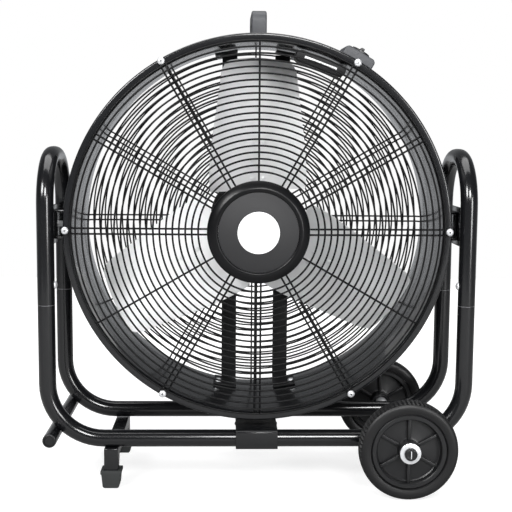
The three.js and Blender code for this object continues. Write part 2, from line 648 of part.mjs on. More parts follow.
function straightWire(offset, angle, ahead = 0) {
  const stops = [wireStart, GUARD_EDGE, GUARD_OUTER_RADIUS + 1];
  return wireThrough(stops.map((r) => at(r, -wireDepth(r) - ahead, offset))).rotateY(-degrees(angle));
}

// A wire out to a screw, round it and back.
function hairpin(angle) {
  const half = WIRE_PAIR_SPACING / 2;
  const out = [wireStart, GUARD_EDGE, WIRE_LANDING].map((r) => at(r, -wireDepth(r), -half));
  const loop = Array.from({ length: LOOP_STEPS + 1 }, (_, i) => {
    const turn = Math.PI * (i / LOOP_STEPS - 0.5);
    return at(RIM_SCREW_RADIUS + half * Math.cos(turn), -wireSeat, half * Math.sin(turn));
  });
  const back = [...out].reverse().map((p) => at(p.x, p.y, -p.z));
  return wireThrough([...out, ...loop, ...back]).rotateY(-degrees(angle));
}

function wireRing(radius, depth, sectionRadius, segments) {
  const outline = [[-1, 0], [1, 0], [0, 1.6]].map(([across, ahead]) => [
    radius + sectionRadius * across, -depth - sectionRadius * ahead,
  ]);
  return turned(outline, segments);
}

// A guard facing the front: hub plate, rings, single wires carrying the rings, pairs and hairpins.
function guard(singles, pairs, hairpins, ringStep, hubInner) {
  const hubDepth = wireDepth(GUARD_HUB_RADIUS);
  const hubPlate = ring(hubInner, GUARD_HUB_RADIUS, -hubDepth - HUB_PLATE_THICKNESS / 2,
    -hubDepth + HUB_PLATE_THICKNESS / 2, GUARD_SEGMENTS);
  const outerRing = wireRing(GUARD_OUTER_RADIUS, wireDepth(GUARD_OUTER_RADIUS), RING_RADIUS,
    2 * GUARD_SEGMENTS);
  const pieces = [outerRing];
  singles.forEach((angle) => pieces.push(straightWire(0, angle, WELD_DEPTH)));
  for (const angle of pairs) {
    pieces.push(straightWire(-WIRE_PAIR_SPACING / 2, angle), straightWire(WIRE_PAIR_SPACING / 2, angle));
  }
  hairpins.forEach((angle) => pieces.push(hairpin(angle)));
  for (let i = 0; i < GUARD_RING_COUNT - 1; i += ringStep) {
    const radius = FIRST_RING_RADIUS + GUARD_RING_PITCH * i;
    pieces.push(wireRing(radius, wireDepth(radius) + WIRE_RADIUS + SEAT_GAP, RING_RADIUS, GUARD_SEGMENTS));
  }
  return joined(hubPlate, ...pieces);
}

const frontGuard = guard(circleAngles(3, 90), circleAngles(3, 30), frontScrewAngles, 1,
  HUB_PLATE_INNER);
place(drumGroup, 'front_guard', frontGuard, 'black_wire');
const rearHairpins = rearScrewAngles.map((angle) => 180 - angle);
const rearGuard = guard(circleAngles(3, 90), [...circleAngles(3, 30), 0, 180], rearHairpins, REAR_RING_STEP,
  REAR_HUB_INNER);
place(drumGroup, 'rear_guard', rearGuard.rotateZ(Math.PI), 'black_wire');

const screwSeat = HALF_DEPTH + 2 * SEAT_GAP + 2 * WIRE_RADIUS;
rimPlaces(frontScrewAngles).forEach(([x, z], i) => {
  const geometry = bolt(SCREW_HEAD_RADIUS, SCREW_HEAD_HEIGHT, SCREW_SHANK_RADIUS, SCREW_SHANK_LENGTH);
  place(drumGroup, `front_guard_screw_${i + 1}`, geometry, 'zinc').position.set(x, -screwSeat, z);
});
rimPlaces(rearScrewAngles).forEach(([x, z], i) => {
  const geometry = bolt(SCREW_HEAD_RADIUS, SCREW_HEAD_HEIGHT, SCREW_SHANK_RADIUS, SCREW_SHANK_LENGTH);
  const mesh = place(drumGroup, `rear_guard_screw_${i + 1}`, geometry, 'zinc');
  mesh.rotation.z = Math.PI;
  mesh.position.set(x, screwSeat, z);
});

// ---------------------------------------------------------------- centre cap and badge
const capSeat = wireDepth(wireStart) + WELD_DEPTH + WIRE_RADIUS + SEAT_GAP;
const capFace = capSeat + CAP_HEIGHT;
place(drumGroup, 'centre_cap', turned([
  [0, -capFace + CAP_RECESS], [CAP_FACE_RADIUS, -capFace + CAP_RECESS], [CAP_FACE_RADIUS + 2, -capFace],
  [CAP_FACE_RADIUS + 7, -capFace], [CAP_RADIUS, -capSeat - 8], [CAP_RADIUS, -capSeat],
  [CAP_RADIUS - CAP_WALL, -capSeat], [CAP_RADIUS - CAP_WALL, -capSeat - 8],
  [CAP_FACE_RADIUS, -capFace + CAP_RECESS + CAP_WALL], [0, -capFace + CAP_RECESS + CAP_WALL],
], 28), 'black_plastic');
const badgeBack = -capFace + CAP_RECESS - SEAT_GAP;
place(drumGroup, 'cap_badge', turned([
  [0, badgeBack], [BADGE_RADIUS, badgeBack], [BADGE_RADIUS, badgeBack - BADGE_THICKNESS * 0.6],
  [BADGE_RADIUS - 0.8, badgeBack - BADGE_THICKNESS], [0, badgeBack - BADGE_THICKNESS],
], 28), 'white_badge');

// ---------------------------------------------------------------- motor and its struts
function motorHousing() {
  const body = turned([
    [SHAFT_RADIUS + RUNNING_GAP, MOTOR_FRONT], [MOTOR_RADIUS * 0.35, MOTOR_FRONT],
    [MOTOR_RADIUS * 0.42, MOTOR_FRONT + 5], [MOTOR_RADIUS * 0.9, MOTOR_FRONT + 9],
    [MOTOR_RADIUS, MOTOR_FRONT + 16], [MOTOR_RADIUS, MOTOR_BACK - 12], [MOTOR_RADIUS * 0.92, MOTOR_BACK],
    [0, MOTOR_BACK], [0, MOTOR_FRONT + 22], [SHAFT_RADIUS + RUNNING_GAP, MOTOR_FRONT + 22],
  ], 24);
  return body;
}
place(drumGroup, 'motor_housing', motorHousing(), 'dark_steel');

const strutFront = MOTOR_BACK + SEAT_GAP;
const strutBack = strutFront + STRUT_THICKNESS;
const wallInside = BARREL_RADIUS * Math.cos(Math.PI / DRUM_SEGMENTS) - SEAT_GAP;

// Flat bar from wall to wall, with a foot at each end that lies along the wall and reaches forward.
function strut(side) {
  const x = side * STRUT_SPACING / 2;
  const footX = x + side * (STRUT_FOOT_WIDTH - STRUT_WIDTH) / 2;
  const lean = Math.asin(footX / wallInside);
  const footRadius = Math.sqrt(wallInside ** 2 - (STRUT_FOOT_WIDTH / 2) ** 2) - STRUT_FOOT_THICKNESS / 2;
  const barEnd = Math.sqrt(footRadius ** 2 - (Math.abs(x) + STRUT_WIDTH / 2) ** 2);
  const bar = box(STRUT_WIDTH, STRUT_THICKNESS, 2 * barEnd, x, (strutFront + strutBack) / 2, 0);
  const feet = [1, -1].map((end) => box(STRUT_FOOT_WIDTH, STRUT_FOOT_DEPTH, STRUT_FOOT_THICKNESS,
    0, strutBack - STRUT_FOOT_DEPTH / 2, end * footRadius).rotateY(end * lean));
  return joined(bar, ...feet);
}
place(drumGroup, 'left_motor_strut', strut(-1), 'gloss_black_paint');
place(drumGroup, 'right_motor_strut', strut(1), 'gloss_black_paint');

// ---------------------------------------------------------------- rotor
const rotorGroup = new THREE.Group();
drumGroup.add(rotorGroup);
place(rotorGroup, 'rotor_shaft', turned([
  [0, MOTOR_FRONT - SHAFT_AHEAD], [SHAFT_RADIUS - 1, MOTOR_FRONT - SHAFT_AHEAD],
  [SHAFT_RADIUS, MOTOR_FRONT - SHAFT_AHEAD + 1], [SHAFT_RADIUS, MOTOR_FRONT + 20], [0, MOTOR_FRONT + 20],
], TUBE_SIDES), 'zinc');

function spider() {
  const hub = turned([
    [SHAFT_RADIUS + RUNNING_GAP, SPIDER_BACK - SPIDER_HUB_DEPTH], [SPIDER_HUB_RADIUS * 0.6,
      SPIDER_BACK - SPIDER_HUB_DEPTH], [SPIDER_HUB_RADIUS * 0.7, SPIDER_BACK - SPIDER_HUB_DEPTH * 0.7],
    [SPIDER_HUB_RADIUS, SPIDER_BACK - SPIDER_HUB_DEPTH * 0.6],
    [SPIDER_HUB_RADIUS, SPIDER_BACK], [SHAFT_RADIUS + RUNNING_GAP, SPIDER_BACK],
  ], TUBE_SIDES * 2);
  const arms = Array.from({ length: BLADE_COUNT }, (_, i) => {
    const inner = SPIDER_HUB_RADIUS - 6;
    const arm = new THREE.BoxGeometry(SPIDER_ARM_LENGTH - inner, SPIDER_ARM_THICKNESS,
      SPIDER_ARM_WIDTH, 4, 1, 1);
    arm.translate((SPIDER_ARM_LENGTH + inner) / 2, 0, 0);
    twist(arm, armPitch, 0);
    return arm.translate(0, SPIDER_MIDDLE, 0).rotateY(-degrees(BLADE_START + 360 * i / BLADE_COUNT));
  });
  return joined(hub, ...arms);
}

// The spider's arms lie flat at the hub and reach the blades' pitch where the blades begin.
function armPitch(radius) {
  const twistLength = BLADE_ROOT - 4 - SPIDER_HUB_RADIUS;
  return BLADE_PITCH * Math.min(Math.max((radius - SPIDER_HUB_RADIUS) / twistLength, 0), 1);
}

// Turns each section of a piece along X about the X axis by the pitch at its radius.
function twist(geometry, pitchAt, lift) {
  const position = geometry.attributes.position;
  for (let i = 0; i < position.count; i += 1) {
    const angle = degrees(pitchAt(position.getX(i)));
    const y = position.getY(i) + lift;
    const z = position.getZ(i);
    position.setY(i, y * Math.cos(angle) - z * Math.sin(angle));
    position.setZ(i, y * Math.sin(angle) + z * Math.cos(angle));
  }
  return geometry;
}

// A paddle of sheet metal: chord narrows to the tip, cambered, twisted, on the spider arm's front.
function blade(index) {
  const geometry = new THREE.BoxGeometry(BLADE_TIP - BLADE_ROOT, BLADE_THICKNESS, 1, 6, 1, 6);
  geometry.translate((BLADE_TIP + BLADE_ROOT) / 2, 0, 0);
  const position = geometry.attributes.position;
  for (let i = 0; i < position.count; i += 1) {
    const radius = position.getX(i);
    const share = (radius - BLADE_ROOT) / (BLADE_TIP - BLADE_ROOT);
    const chord = BLADE_ROOT_CHORD + (BLADE_TIP_CHORD - BLADE_ROOT_CHORD) * share;
    const across = position.getZ(i) * 2;
    const flat = Math.max(Math.abs(across) - SPIDER_ARM_WIDTH / BLADE_TIP_CHORD, 0);
    position.setY(i, position.getY(i) - BLADE_CAMBER * flat ** 2);
    position.setZ(i, across * chord / 2);
    position.setX(i, Math.sqrt(Math.max(radius ** 2 - (across * chord / 2 * share) ** 2, 0)));
  }
  const lift = -(SPIDER_ARM_THICKNESS + BLADE_THICKNESS) / 2 - SEAT_GAP;
  twist(geometry, () => BLADE_PITCH, lift);
  return geometry.translate(0, SPIDER_MIDDLE, 0).rotateY(-degrees(BLADE_START + 360 * index / BLADE_COUNT));
}

place(rotorGroup, 'blade_spider', spider(), 'dark_steel');
for (let i = 0; i < BLADE_COUNT; i += 1) place(rotorGroup, `blade_${i + 1}`, blade(i), 'aluminium');

// ---------------------------------------------------------------- pieces on the drum's wall
const wallFlat = BARREL_OUTSIDE + SEAT_GAP;
const facetAngle = Math.PI / DRUM_SEGMENTS;                  // half of one facet of the wall
const wallBeside = (distance) => wallFlat - distance * Math.tan(facetAngle);

// A group whose X axis points straight out of the drum at an angle round it.
function outward(angle) {
  const group = new THREE.Group();
  group.rotation.y = -degrees(angle);
  drumGroup.add(group);
  return group;
}

function handle() {
  const halfLength = HANDLE_LENGTH / 2;
  const under = HANDLE_TOP - HANDLE_BAR;
  const shape = new THREE.Shape([
    new THREE.Vector2(-halfLength, wallFlat), new THREE.Vector2(-halfLength + HANDLE_FOOT_LENGTH, wallFlat),
    new THREE.Vector2(-halfLength + HANDLE_FOOT_LENGTH, under - HANDLE_CORNER / 2),
    new THREE.Vector2(-halfLength + HANDLE_FOOT_LENGTH + HANDLE_CORNER / 2, under),
    new THREE.Vector2(halfLength - HANDLE_FOOT_LENGTH - HANDLE_CORNER / 2, under),
    new THREE.Vector2(halfLength - HANDLE_FOOT_LENGTH, under - HANDLE_CORNER / 2),
    new THREE.Vector2(halfLength - HANDLE_FOOT_LENGTH, wallFlat), new THREE.Vector2(halfLength, wallFlat),
    new THREE.Vector2(halfLength, HANDLE_TOP - HANDLE_CORNER),
    new THREE.Vector2(halfLength - HANDLE_CORNER, HANDLE_TOP),
    new THREE.Vector2(-halfLength + HANDLE_CORNER, HANDLE_TOP),
    new THREE.Vector2(-halfLength, HANDLE_TOP - HANDLE_CORNER),
  ]);
  const bar = slab(shape.getPoints().map((p) => [p.x, p.y]), HANDLE_WIDTH);
  const feet = [-1, 1].map((side) => box(HANDLE_FOOT_WIDTH, HANDLE_FOOT_LENGTH + 4, HANDLE_FOOT_THICKNESS,
    0, side * (halfLength - HANDLE_FOOT_LENGTH / 2), wallFlat + HANDLE_FOOT_THICKNESS / 2));
  return joined(bar, ...feet);
}
place(drumGroup, 'carry_handle', handle(), 'grey_plastic');

const controlGroup = outward(BOX_ANGLE);
const boxTop = wallFlat + BOX_HEIGHT;
const boxMiddle = BOX_FRONT + BOX_LENGTH / 2;
const knobY = BOX_FRONT + KNOB_FROM_FRONT;

function controlBox() {
  const half = BOX_WIDTH / 2;
  const outline = new THREE.Shape([
    new THREE.Vector2(wallFlat, -half), new THREE.Vector2(boxTop - BOX_BEVEL, -half),
    new THREE.Vector2(boxTop, -half + BOX_BEVEL), new THREE.Vector2(boxTop, half - BOX_BEVEL),
    new THREE.Vector2(boxTop - BOX_BEVEL, half), new THREE.Vector2(wallFlat, half),
  ]);
  const body = new THREE.ExtrudeGeometry(outline, { depth: BOX_LENGTH, bevelEnabled: false });
  body.rotateX(Math.PI / 2).translate(0, BOX_FRONT + BOX_LENGTH, 0);
  const stemHole = alongX(rod(KNOB_STEM_RADIUS + RUNNING_GAP, 0, KNOB_STEM_LENGTH + 2, 12))
    .translate(boxTop - KNOB_STEM_LENGTH - 1, knobY, 0);
  return cut(body, stemHole);
}
place(controlGroup, 'control_box', controlBox(), 'grey_plastic');

function speedKnob() {
  const knob = turned([
    [0, -KNOB_STEM_LENGTH], [KNOB_STEM_RADIUS, -KNOB_STEM_LENGTH], [KNOB_STEM_RADIUS, SEAT_GAP],
    [KNOB_RADIUS, SEAT_GAP], [KNOB_RADIUS - 1, KNOB_HEIGHT * 0.5], [0, KNOB_HEIGHT * 0.5],
  ], 20);
  const grip = new THREE.BoxGeometry(2 * KNOB_RADIUS - 4, KNOB_GRIP_HEIGHT, 7)
    .translate(0, KNOB_HEIGHT - KNOB_GRIP_HEIGHT / 2, 0);
  return alongX(joined(knob, grip)).translate(boxTop, knobY, 0);
}
place(controlGroup, 'speed_knob', speedKnob(), 'black_plastic');

place(controlGroup, 'cable_inlet', turned([
  [3.5, 0], [INLET_RADIUS, 0], [INLET_RADIUS, 5], [INLET_RADIUS - 2.5, INLET_LENGTH], [3.5, INLET_LENGTH],
], TUBE_SIDES), 'black_plastic')
  .position.set(wallFlat + BOX_HEIGHT / 2, BOX_FRONT + BOX_LENGTH + SEAT_GAP, 0);

function wiringBox() {
  const half = WIRING_WIDTH / 2;
  const wall = Math.sqrt(wallInside ** 2 - half ** 2);
  const floor = wall - WIRING_HEIGHT + 4;
  const outline = new THREE.Shape([
    new THREE.Vector2(wall, -half), new THREE.Vector2(wall, half), new THREE.Vector2(floor + 8, half),
    new THREE.Vector2(floor, half - 9), new THREE.Vector2(floor, -half + 9),
    new THREE.Vector2(floor + 8, -half),
  ]);
  const body = new THREE.ExtrudeGeometry(outline, { depth: WIRING_LENGTH, bevelEnabled: false });
  return body.rotateX(Math.PI / 2).translate(0, WIRING_FRONT + WIRING_LENGTH, 0);
}
place(outward(WIRING_ANGLE), 'wiring_box', wiringBox(), 'gloss_black_paint');

// ---------------------------------------------------------------- drum pivots
function pivotPlate(side) {
  const tubeFlat = TUBE_RADIUS * Math.cos(Math.PI / TUBE_SIDES);
  const length = 2 * (FRAME_Y - tubeFlat - SEAT_GAP);
  const plate = box(PLATE_THICKNESS, length, PLATE_HEIGHT, side * LEG_X, 0, PIVOT_HEIGHT);
  const hole = alongX(rod(PIVOT_BOLT_RADIUS + RUNNING_GAP, -PLATE_THICKNESS, PLATE_THICKNESS, 12))
    .translate(side * LEG_X, 0, PIVOT_HEIGHT);
  return cut(plate, hole);
}

// Hat-shaped bracket on the drum's side, open to the front and the back.
function pivotBracket() {
  const face = PLATE_INNER_X - SEAT_GAP;
  const half = BRACKET_HEIGHT / 2;
  const raised = BRACKET_CHANNEL / 2;
  const edge = wallBeside(half);
  const root = wallBeside(raised);
  const inner = raised - BRACKET_SHEET;
  const outline = new THREE.Shape([
    [edge, -half], [edge + BRACKET_SHEET, -half], [root + BRACKET_SHEET, -raised], [face, -raised],
    [face, raised], [root + BRACKET_SHEET, raised], [edge + BRACKET_SHEET, half], [edge, half],
    [wallBeside(inner), inner], [face - BRACKET_SHEET, inner],
    [face - BRACKET_SHEET, -inner], [wallBeside(inner), -inner],
  ].map(([x, y]) => new THREE.Vector2(x, y)));
  const body = new THREE.ExtrudeGeometry(outline, { depth: BRACKET_DEPTH, bevelEnabled: false });
  body.rotateX(Math.PI / 2).translate(0, BRACKET_DEPTH / 2, 0);
  const hole = alongX(rod(PIVOT_BOLT_RADIUS + RUNNING_GAP, -BRACKET_SHEET * 2, BRACKET_SHEET, 12))
    .translate(face, 0, 0);
  return cut(body, hole);
}

const pivotBoltReach = PLATE_THICKNESS + SEAT_GAP * 2 + BRACKET_SHEET + BRACKET_BOLT_LENGTH;
for (const [side, sideName] of [[-1, 'left'], [1, 'right']]) {
  place(fan, `${sideName}_pivot_plate`, pivotPlate(side), 'gloss_black_paint');
  place(outward(side > 0 ? 0 : 180), `${sideName}_pivot_bracket`, pivotBracket(), 'gloss_black_paint');
  const mesh = place(fan, `${sideName}_pivot_bolt`, bolt(PIVOT_HEAD_RADIUS, PIVOT_HEAD_HEIGHT,
    PIVOT_BOLT_RADIUS, pivotBoltReach, TUBE_SIDES), 'zinc');
  mesh.rotation.z = side * Math.PI / 2;
  mesh.position.set(side * (LEG_X + PLATE_THICKNESS / 2 + SEAT_GAP), 0, PIVOT_HEIGHT);
}

export default fan;
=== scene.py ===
import math

import bmesh
import bpy
from mathutils import Matrix, Vector


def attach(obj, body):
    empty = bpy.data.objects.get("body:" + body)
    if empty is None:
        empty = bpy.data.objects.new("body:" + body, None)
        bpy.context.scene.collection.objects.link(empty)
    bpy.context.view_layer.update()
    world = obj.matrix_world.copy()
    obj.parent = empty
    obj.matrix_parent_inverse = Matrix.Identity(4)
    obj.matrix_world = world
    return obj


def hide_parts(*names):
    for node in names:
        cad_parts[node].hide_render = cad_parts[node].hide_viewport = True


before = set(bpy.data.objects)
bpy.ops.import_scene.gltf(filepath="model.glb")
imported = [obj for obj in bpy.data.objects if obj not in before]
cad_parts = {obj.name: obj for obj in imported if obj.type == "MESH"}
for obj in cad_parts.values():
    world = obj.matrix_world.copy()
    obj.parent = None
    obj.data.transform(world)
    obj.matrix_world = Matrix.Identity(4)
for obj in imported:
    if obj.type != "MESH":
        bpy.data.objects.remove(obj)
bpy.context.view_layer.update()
MM = 0.001

# ------------------------------------------------------------------ sizes, millimetres
SEAT_GAP = 0.3  # between pieces that seat on each other
SHEET = 2  # thickness of the drum's wall and the cross member
TUBE_RADIUS = 15
TUBE_SIDES = 40
PLUG_RADIUS = 13  # the lower frames' ends inside the arches
FRAME_Y = 99  # middle planes of the front and rear tubes
LEG_X = 367
AXLE_HEIGHT = 85
LOWER_BEND = 98
SEAM = AXLE_HEIGHT + 238  # where the arches meet the lower frames
ARCH_BEND = 88
ARCH_BOLT_Z = SEAM + 35
FOOT_X = 111 - LEG_X
FOOT_Y = 102
FOOT_HALF = 17.2
RAIL_HALF = 12.3
LIFT_RADIUS = 12
LIFT_HALF = 150
AXLE_X = LEG_X - 109
AXLE_RADIUS = 8
AXLE_HALF = 196
AXLE_BORE = 8.4
WHEEL_Y = 167.5
WHEEL_RADIUS = AXLE_HEIGHT
TYRE_INNER = 65
BARREL = 320  # inner radius of the drum
WALL = BARREL + SHEET + SEAT_GAP
HALF_DEPTH = 111
RIM_RADIUS = BARREL + 15.5
SCREW_RADIUS = BARREL + 11
SCREW_Y = 115
SADDLE_HALF = 37
SADDLE_TOP = AXLE_HEIGHT + TUBE_RADIUS + SEAT_GAP + SHEET
DRUM_CLEARANCE = 1.5  # from the cross member to the tilting rim
PIVOT_HEIGHT = SADDLE_TOP + DRUM_CLEARANCE + math.hypot(RIM_RADIUS, HALF_DEPTH - 2)
ARCH_HEIGHT = PIVOT_HEIGHT + 125
DRUM_TILT = math.radians(1.3)
FACET = math.radians(5)  # half a side of the solid drum, which has 36
FACET_SLOPE = math.tan(FACET)
GUARD_HUB = 86
WIRE_START = GUARD_HUB - 6
FIRST_RING = 103
RING_PITCH = 11
RING_COUNT = 21
GUARD_DOME = 10
GUARD_EDGE = 313
WIRE = 1.7
REAR_WIRE = 1.55
PAIR_HALF = 4.8
CAP_RADIUS = 88
CAP_FACE = 69
CAP_RISE = 13
BADGE_RADIUS = 36
STRUT_X = 49.5
STRUT_FRONT = 86.3
BLADE_ROOT = 62
BLADE_TIP = BARREL - 20
BLADE_ROOT_CHORD = 226
BLADE_TIP_CHORD = 153
BLADE_CORNER = 13
BLADE_PITCH = math.radians(30)
BLADE_MIDDLE = 11
BOX_ANGLE = 60
BOX_HALF = 29
BOX_FRONT, BOX_BACK = -80, 10
KNOB_Y = -50
WIRING_ANGLE = 70
WIRING_FRONT, WIRING_BACK = -99.5, -45.5
SIDES = ((-1, "left"), (1, "right"))
ENDS = ((-1, "front"), (1, "rear"))

DRUM = Matrix.Translation((0, 0, PIVOT_HEIGHT * MM)) @ Matrix.Rotation(DRUM_TILT, 4, "X")
HERE = Matrix.Identity(4)
ALONG_X = Matrix.Rotation(-math.pi / 2, 4, "Z")  # lays a prism's length along X


# ------------------------------------------------------------------ materials
def material(name, color, roughness, metallic=0.0, coat=0.0, spread=0.15, grain=0.0, grain_scale=400,
             shade=0.1):
    """A surface whose colour and roughness drift with noise, with an optional fine bump."""
    m = bpy.data.materials.new(name)
    m.use_nodes = True
    nodes, links = m.node_tree.nodes, m.node_tree.links
    bsdf = nodes["Principled BSDF"]
    bsdf.inputs["Metallic"].default_value = metallic
    bsdf.inputs["Coat Weight"].default_value = coat
    bsdf.inputs["Coat Roughness"].default_value = 0.08
    where = nodes.new("ShaderNodeTexCoord")
    cloud = nodes.new("ShaderNodeTexNoise")
    cloud.inputs["Scale"].default_value = 9
    cloud.inputs["Detail"].default_value = 6
    links.new(where.outputs["Object"], cloud.inputs["Vector"])
    tint = nodes.new("ShaderNodeMix")
    tint.data_type = "RGBA"
    tint.inputs["A"].default_value = (*[c * (1 - shade) for c in color], 1)
    tint.inputs["B"].default_value = (*[min(c * (1 + shade), 1) for c in color], 1)
    links.new(cloud.outputs["Fac"], tint.inputs["Factor"])
    links.new(tint.outputs["Result"], bsdf.inputs["Base Color"])
    rough = nodes.new("ShaderNodeMapRange")
    rough.inputs["To Min"].default_value = roughness * (1 - spread)
    rough.inputs["To Max"].default_value = roughness * (1 + spread)
    links.new(cloud.outputs["Fac"], rough.inputs["Value"])
    links.new(rough.outputs["Result"], bsdf.inputs["Roughness"])
    if grain:
        fine = nodes.new("ShaderNodeTexNoise")
        fine.inputs["Scale"].default_value = grain_scale
        fine.inputs["Detail"].default_value = 3
        links.new(where.outputs["Object"], fine.inputs["Vector"])
        bump = nodes.new("ShaderNodeBump")
        bump.inputs["Strength"].default_value = grain
        bump.inputs["Distance"].default_value = 0.0004
        links.new(fine.outputs["Fac"], bump.inputs["Height"])
        links.new(bump.outputs["Normal"], bsdf.inputs["Normal"])
    return m


PAINT = material("gloss_black_paint", (0.006, 0.0063, 0.0072), 0.19, coat=0.25)
SHELL = material("drum_paint", (0.007, 0.0073, 0.0084), 0.2, coat=0.3)
WIRE_PAINT = material("wire_paint", (0.0028, 0.0029, 0.0034), 0.4)
ZINC = material("zinc_plate", (0.84, 0.85, 0.87), 0.3, metallic=0.55, grain=0.1, grain_scale=900)
TYRE = material("tyre_rubber", (0.0055, 0.0055, 0.006), 0.42, grain=0.25, grain_scale=700, shade=0.25)
RUBBER = material("foot_rubber", (0.022, 0.024, 0.024), 0.7, grain=0.4, grain_scale=600, shade=0.2)
GREY_PLASTIC = material("grey_plastic", (0.055, 0.057, 0.063), 0.5, grain=0.5, grain_scale=1100)
BLACK_PLASTIC = material("black_plastic", (0.0065, 0.0067, 0.0075), 0.34, grain=0.3, grain_scale=1100)
CAP_PLASTIC = material("cap_plastic", (0.017, 0.017, 0.0185), 0.62, grain=0.45, grain_scale=1000)
CAP_GLOSS = material("cap_bevel", (0.004, 0.004, 0.0046), 0.3)
BADGE = material("badge_white", (0.93, 0.93, 0.94), 0.35, coat=0.2, shade=0.02)
DARK_STEEL = material("dark_steel", (0.03, 0.0305, 0.033), 0.4, metallic=0.3, grain=0.15, grain_scale=500)
STRUT_PAINT = material("strut_paint", (0.0075, 0.0077, 0.0085), 0.55)
AXLE_STEEL = material("axle_steel", (0.3, 0.305, 0.315), 0.34, metallic=0.6, grain=0.1, grain_scale=900)
# painted highlight: light steel broken into fine patches, for the glints at the seams
SEAM_GLINT = material("seam_painted_glint", (0.2, 0.2, 0.21), 0.45, metallic=0.3, shade=0.95)
for dull, level in ((WIRE_PAINT, 0.22), (CAP_GLOSS, 0.25), (TYRE, 0.38), (STRUT_PAINT, 0.3)):
    dull.node_tree.nodes["Principled BSDF"].inputs["Specular IOR Level"].default_value = level
SEAM_GLINT.node_tree.nodes["Noise Texture"].inputs["Scale"].default_value = 150
# painted shade: flat black for the guard screws' recesses and the control box's seam
SHADOW = material("painted_shade_dark", (0.006, 0.006, 0.006), 0.6)


def brushed(name, color, roughness):
    """Rolled sheet: streaks along the piece over a soft metal."""
    m = material(name, color, roughness, metallic=0.2, spread=0.3, shade=0.06)
    nodes, links = m.node_tree.nodes, m.node_tree.links
    stretch = nodes.new("ShaderNodeMapping")
    stretch.inputs["Scale"].default_value = (2, 60, 60)
    streak = nodes.new("ShaderNodeTexNoise")
    streak.inputs["Scale"].default_value = 20
    streak.inputs["Detail"].default_value = 4
    bump = nodes.new("ShaderNodeBump")
    bump.inputs["Strength"].default_value = 0.08
    bump.inputs["Distance"].default_value = 0.0003
    where = nodes["Texture Coordinate"]
    links.new(where.outputs["Object"], stretch.inputs["Vector"])
    links.new(stretch.outputs["Vector"], streak.inputs["Vector"])
    links.new(streak.outputs["Fac"], bump.inputs["Height"])
    links.new(bump.outputs["Normal"], nodes["Principled BSDF"].inputs["Normal"])
    return m


ALUMINIUM = brushed("aluminium_sheet", (0.88, 0.885, 0.89), 0.45)


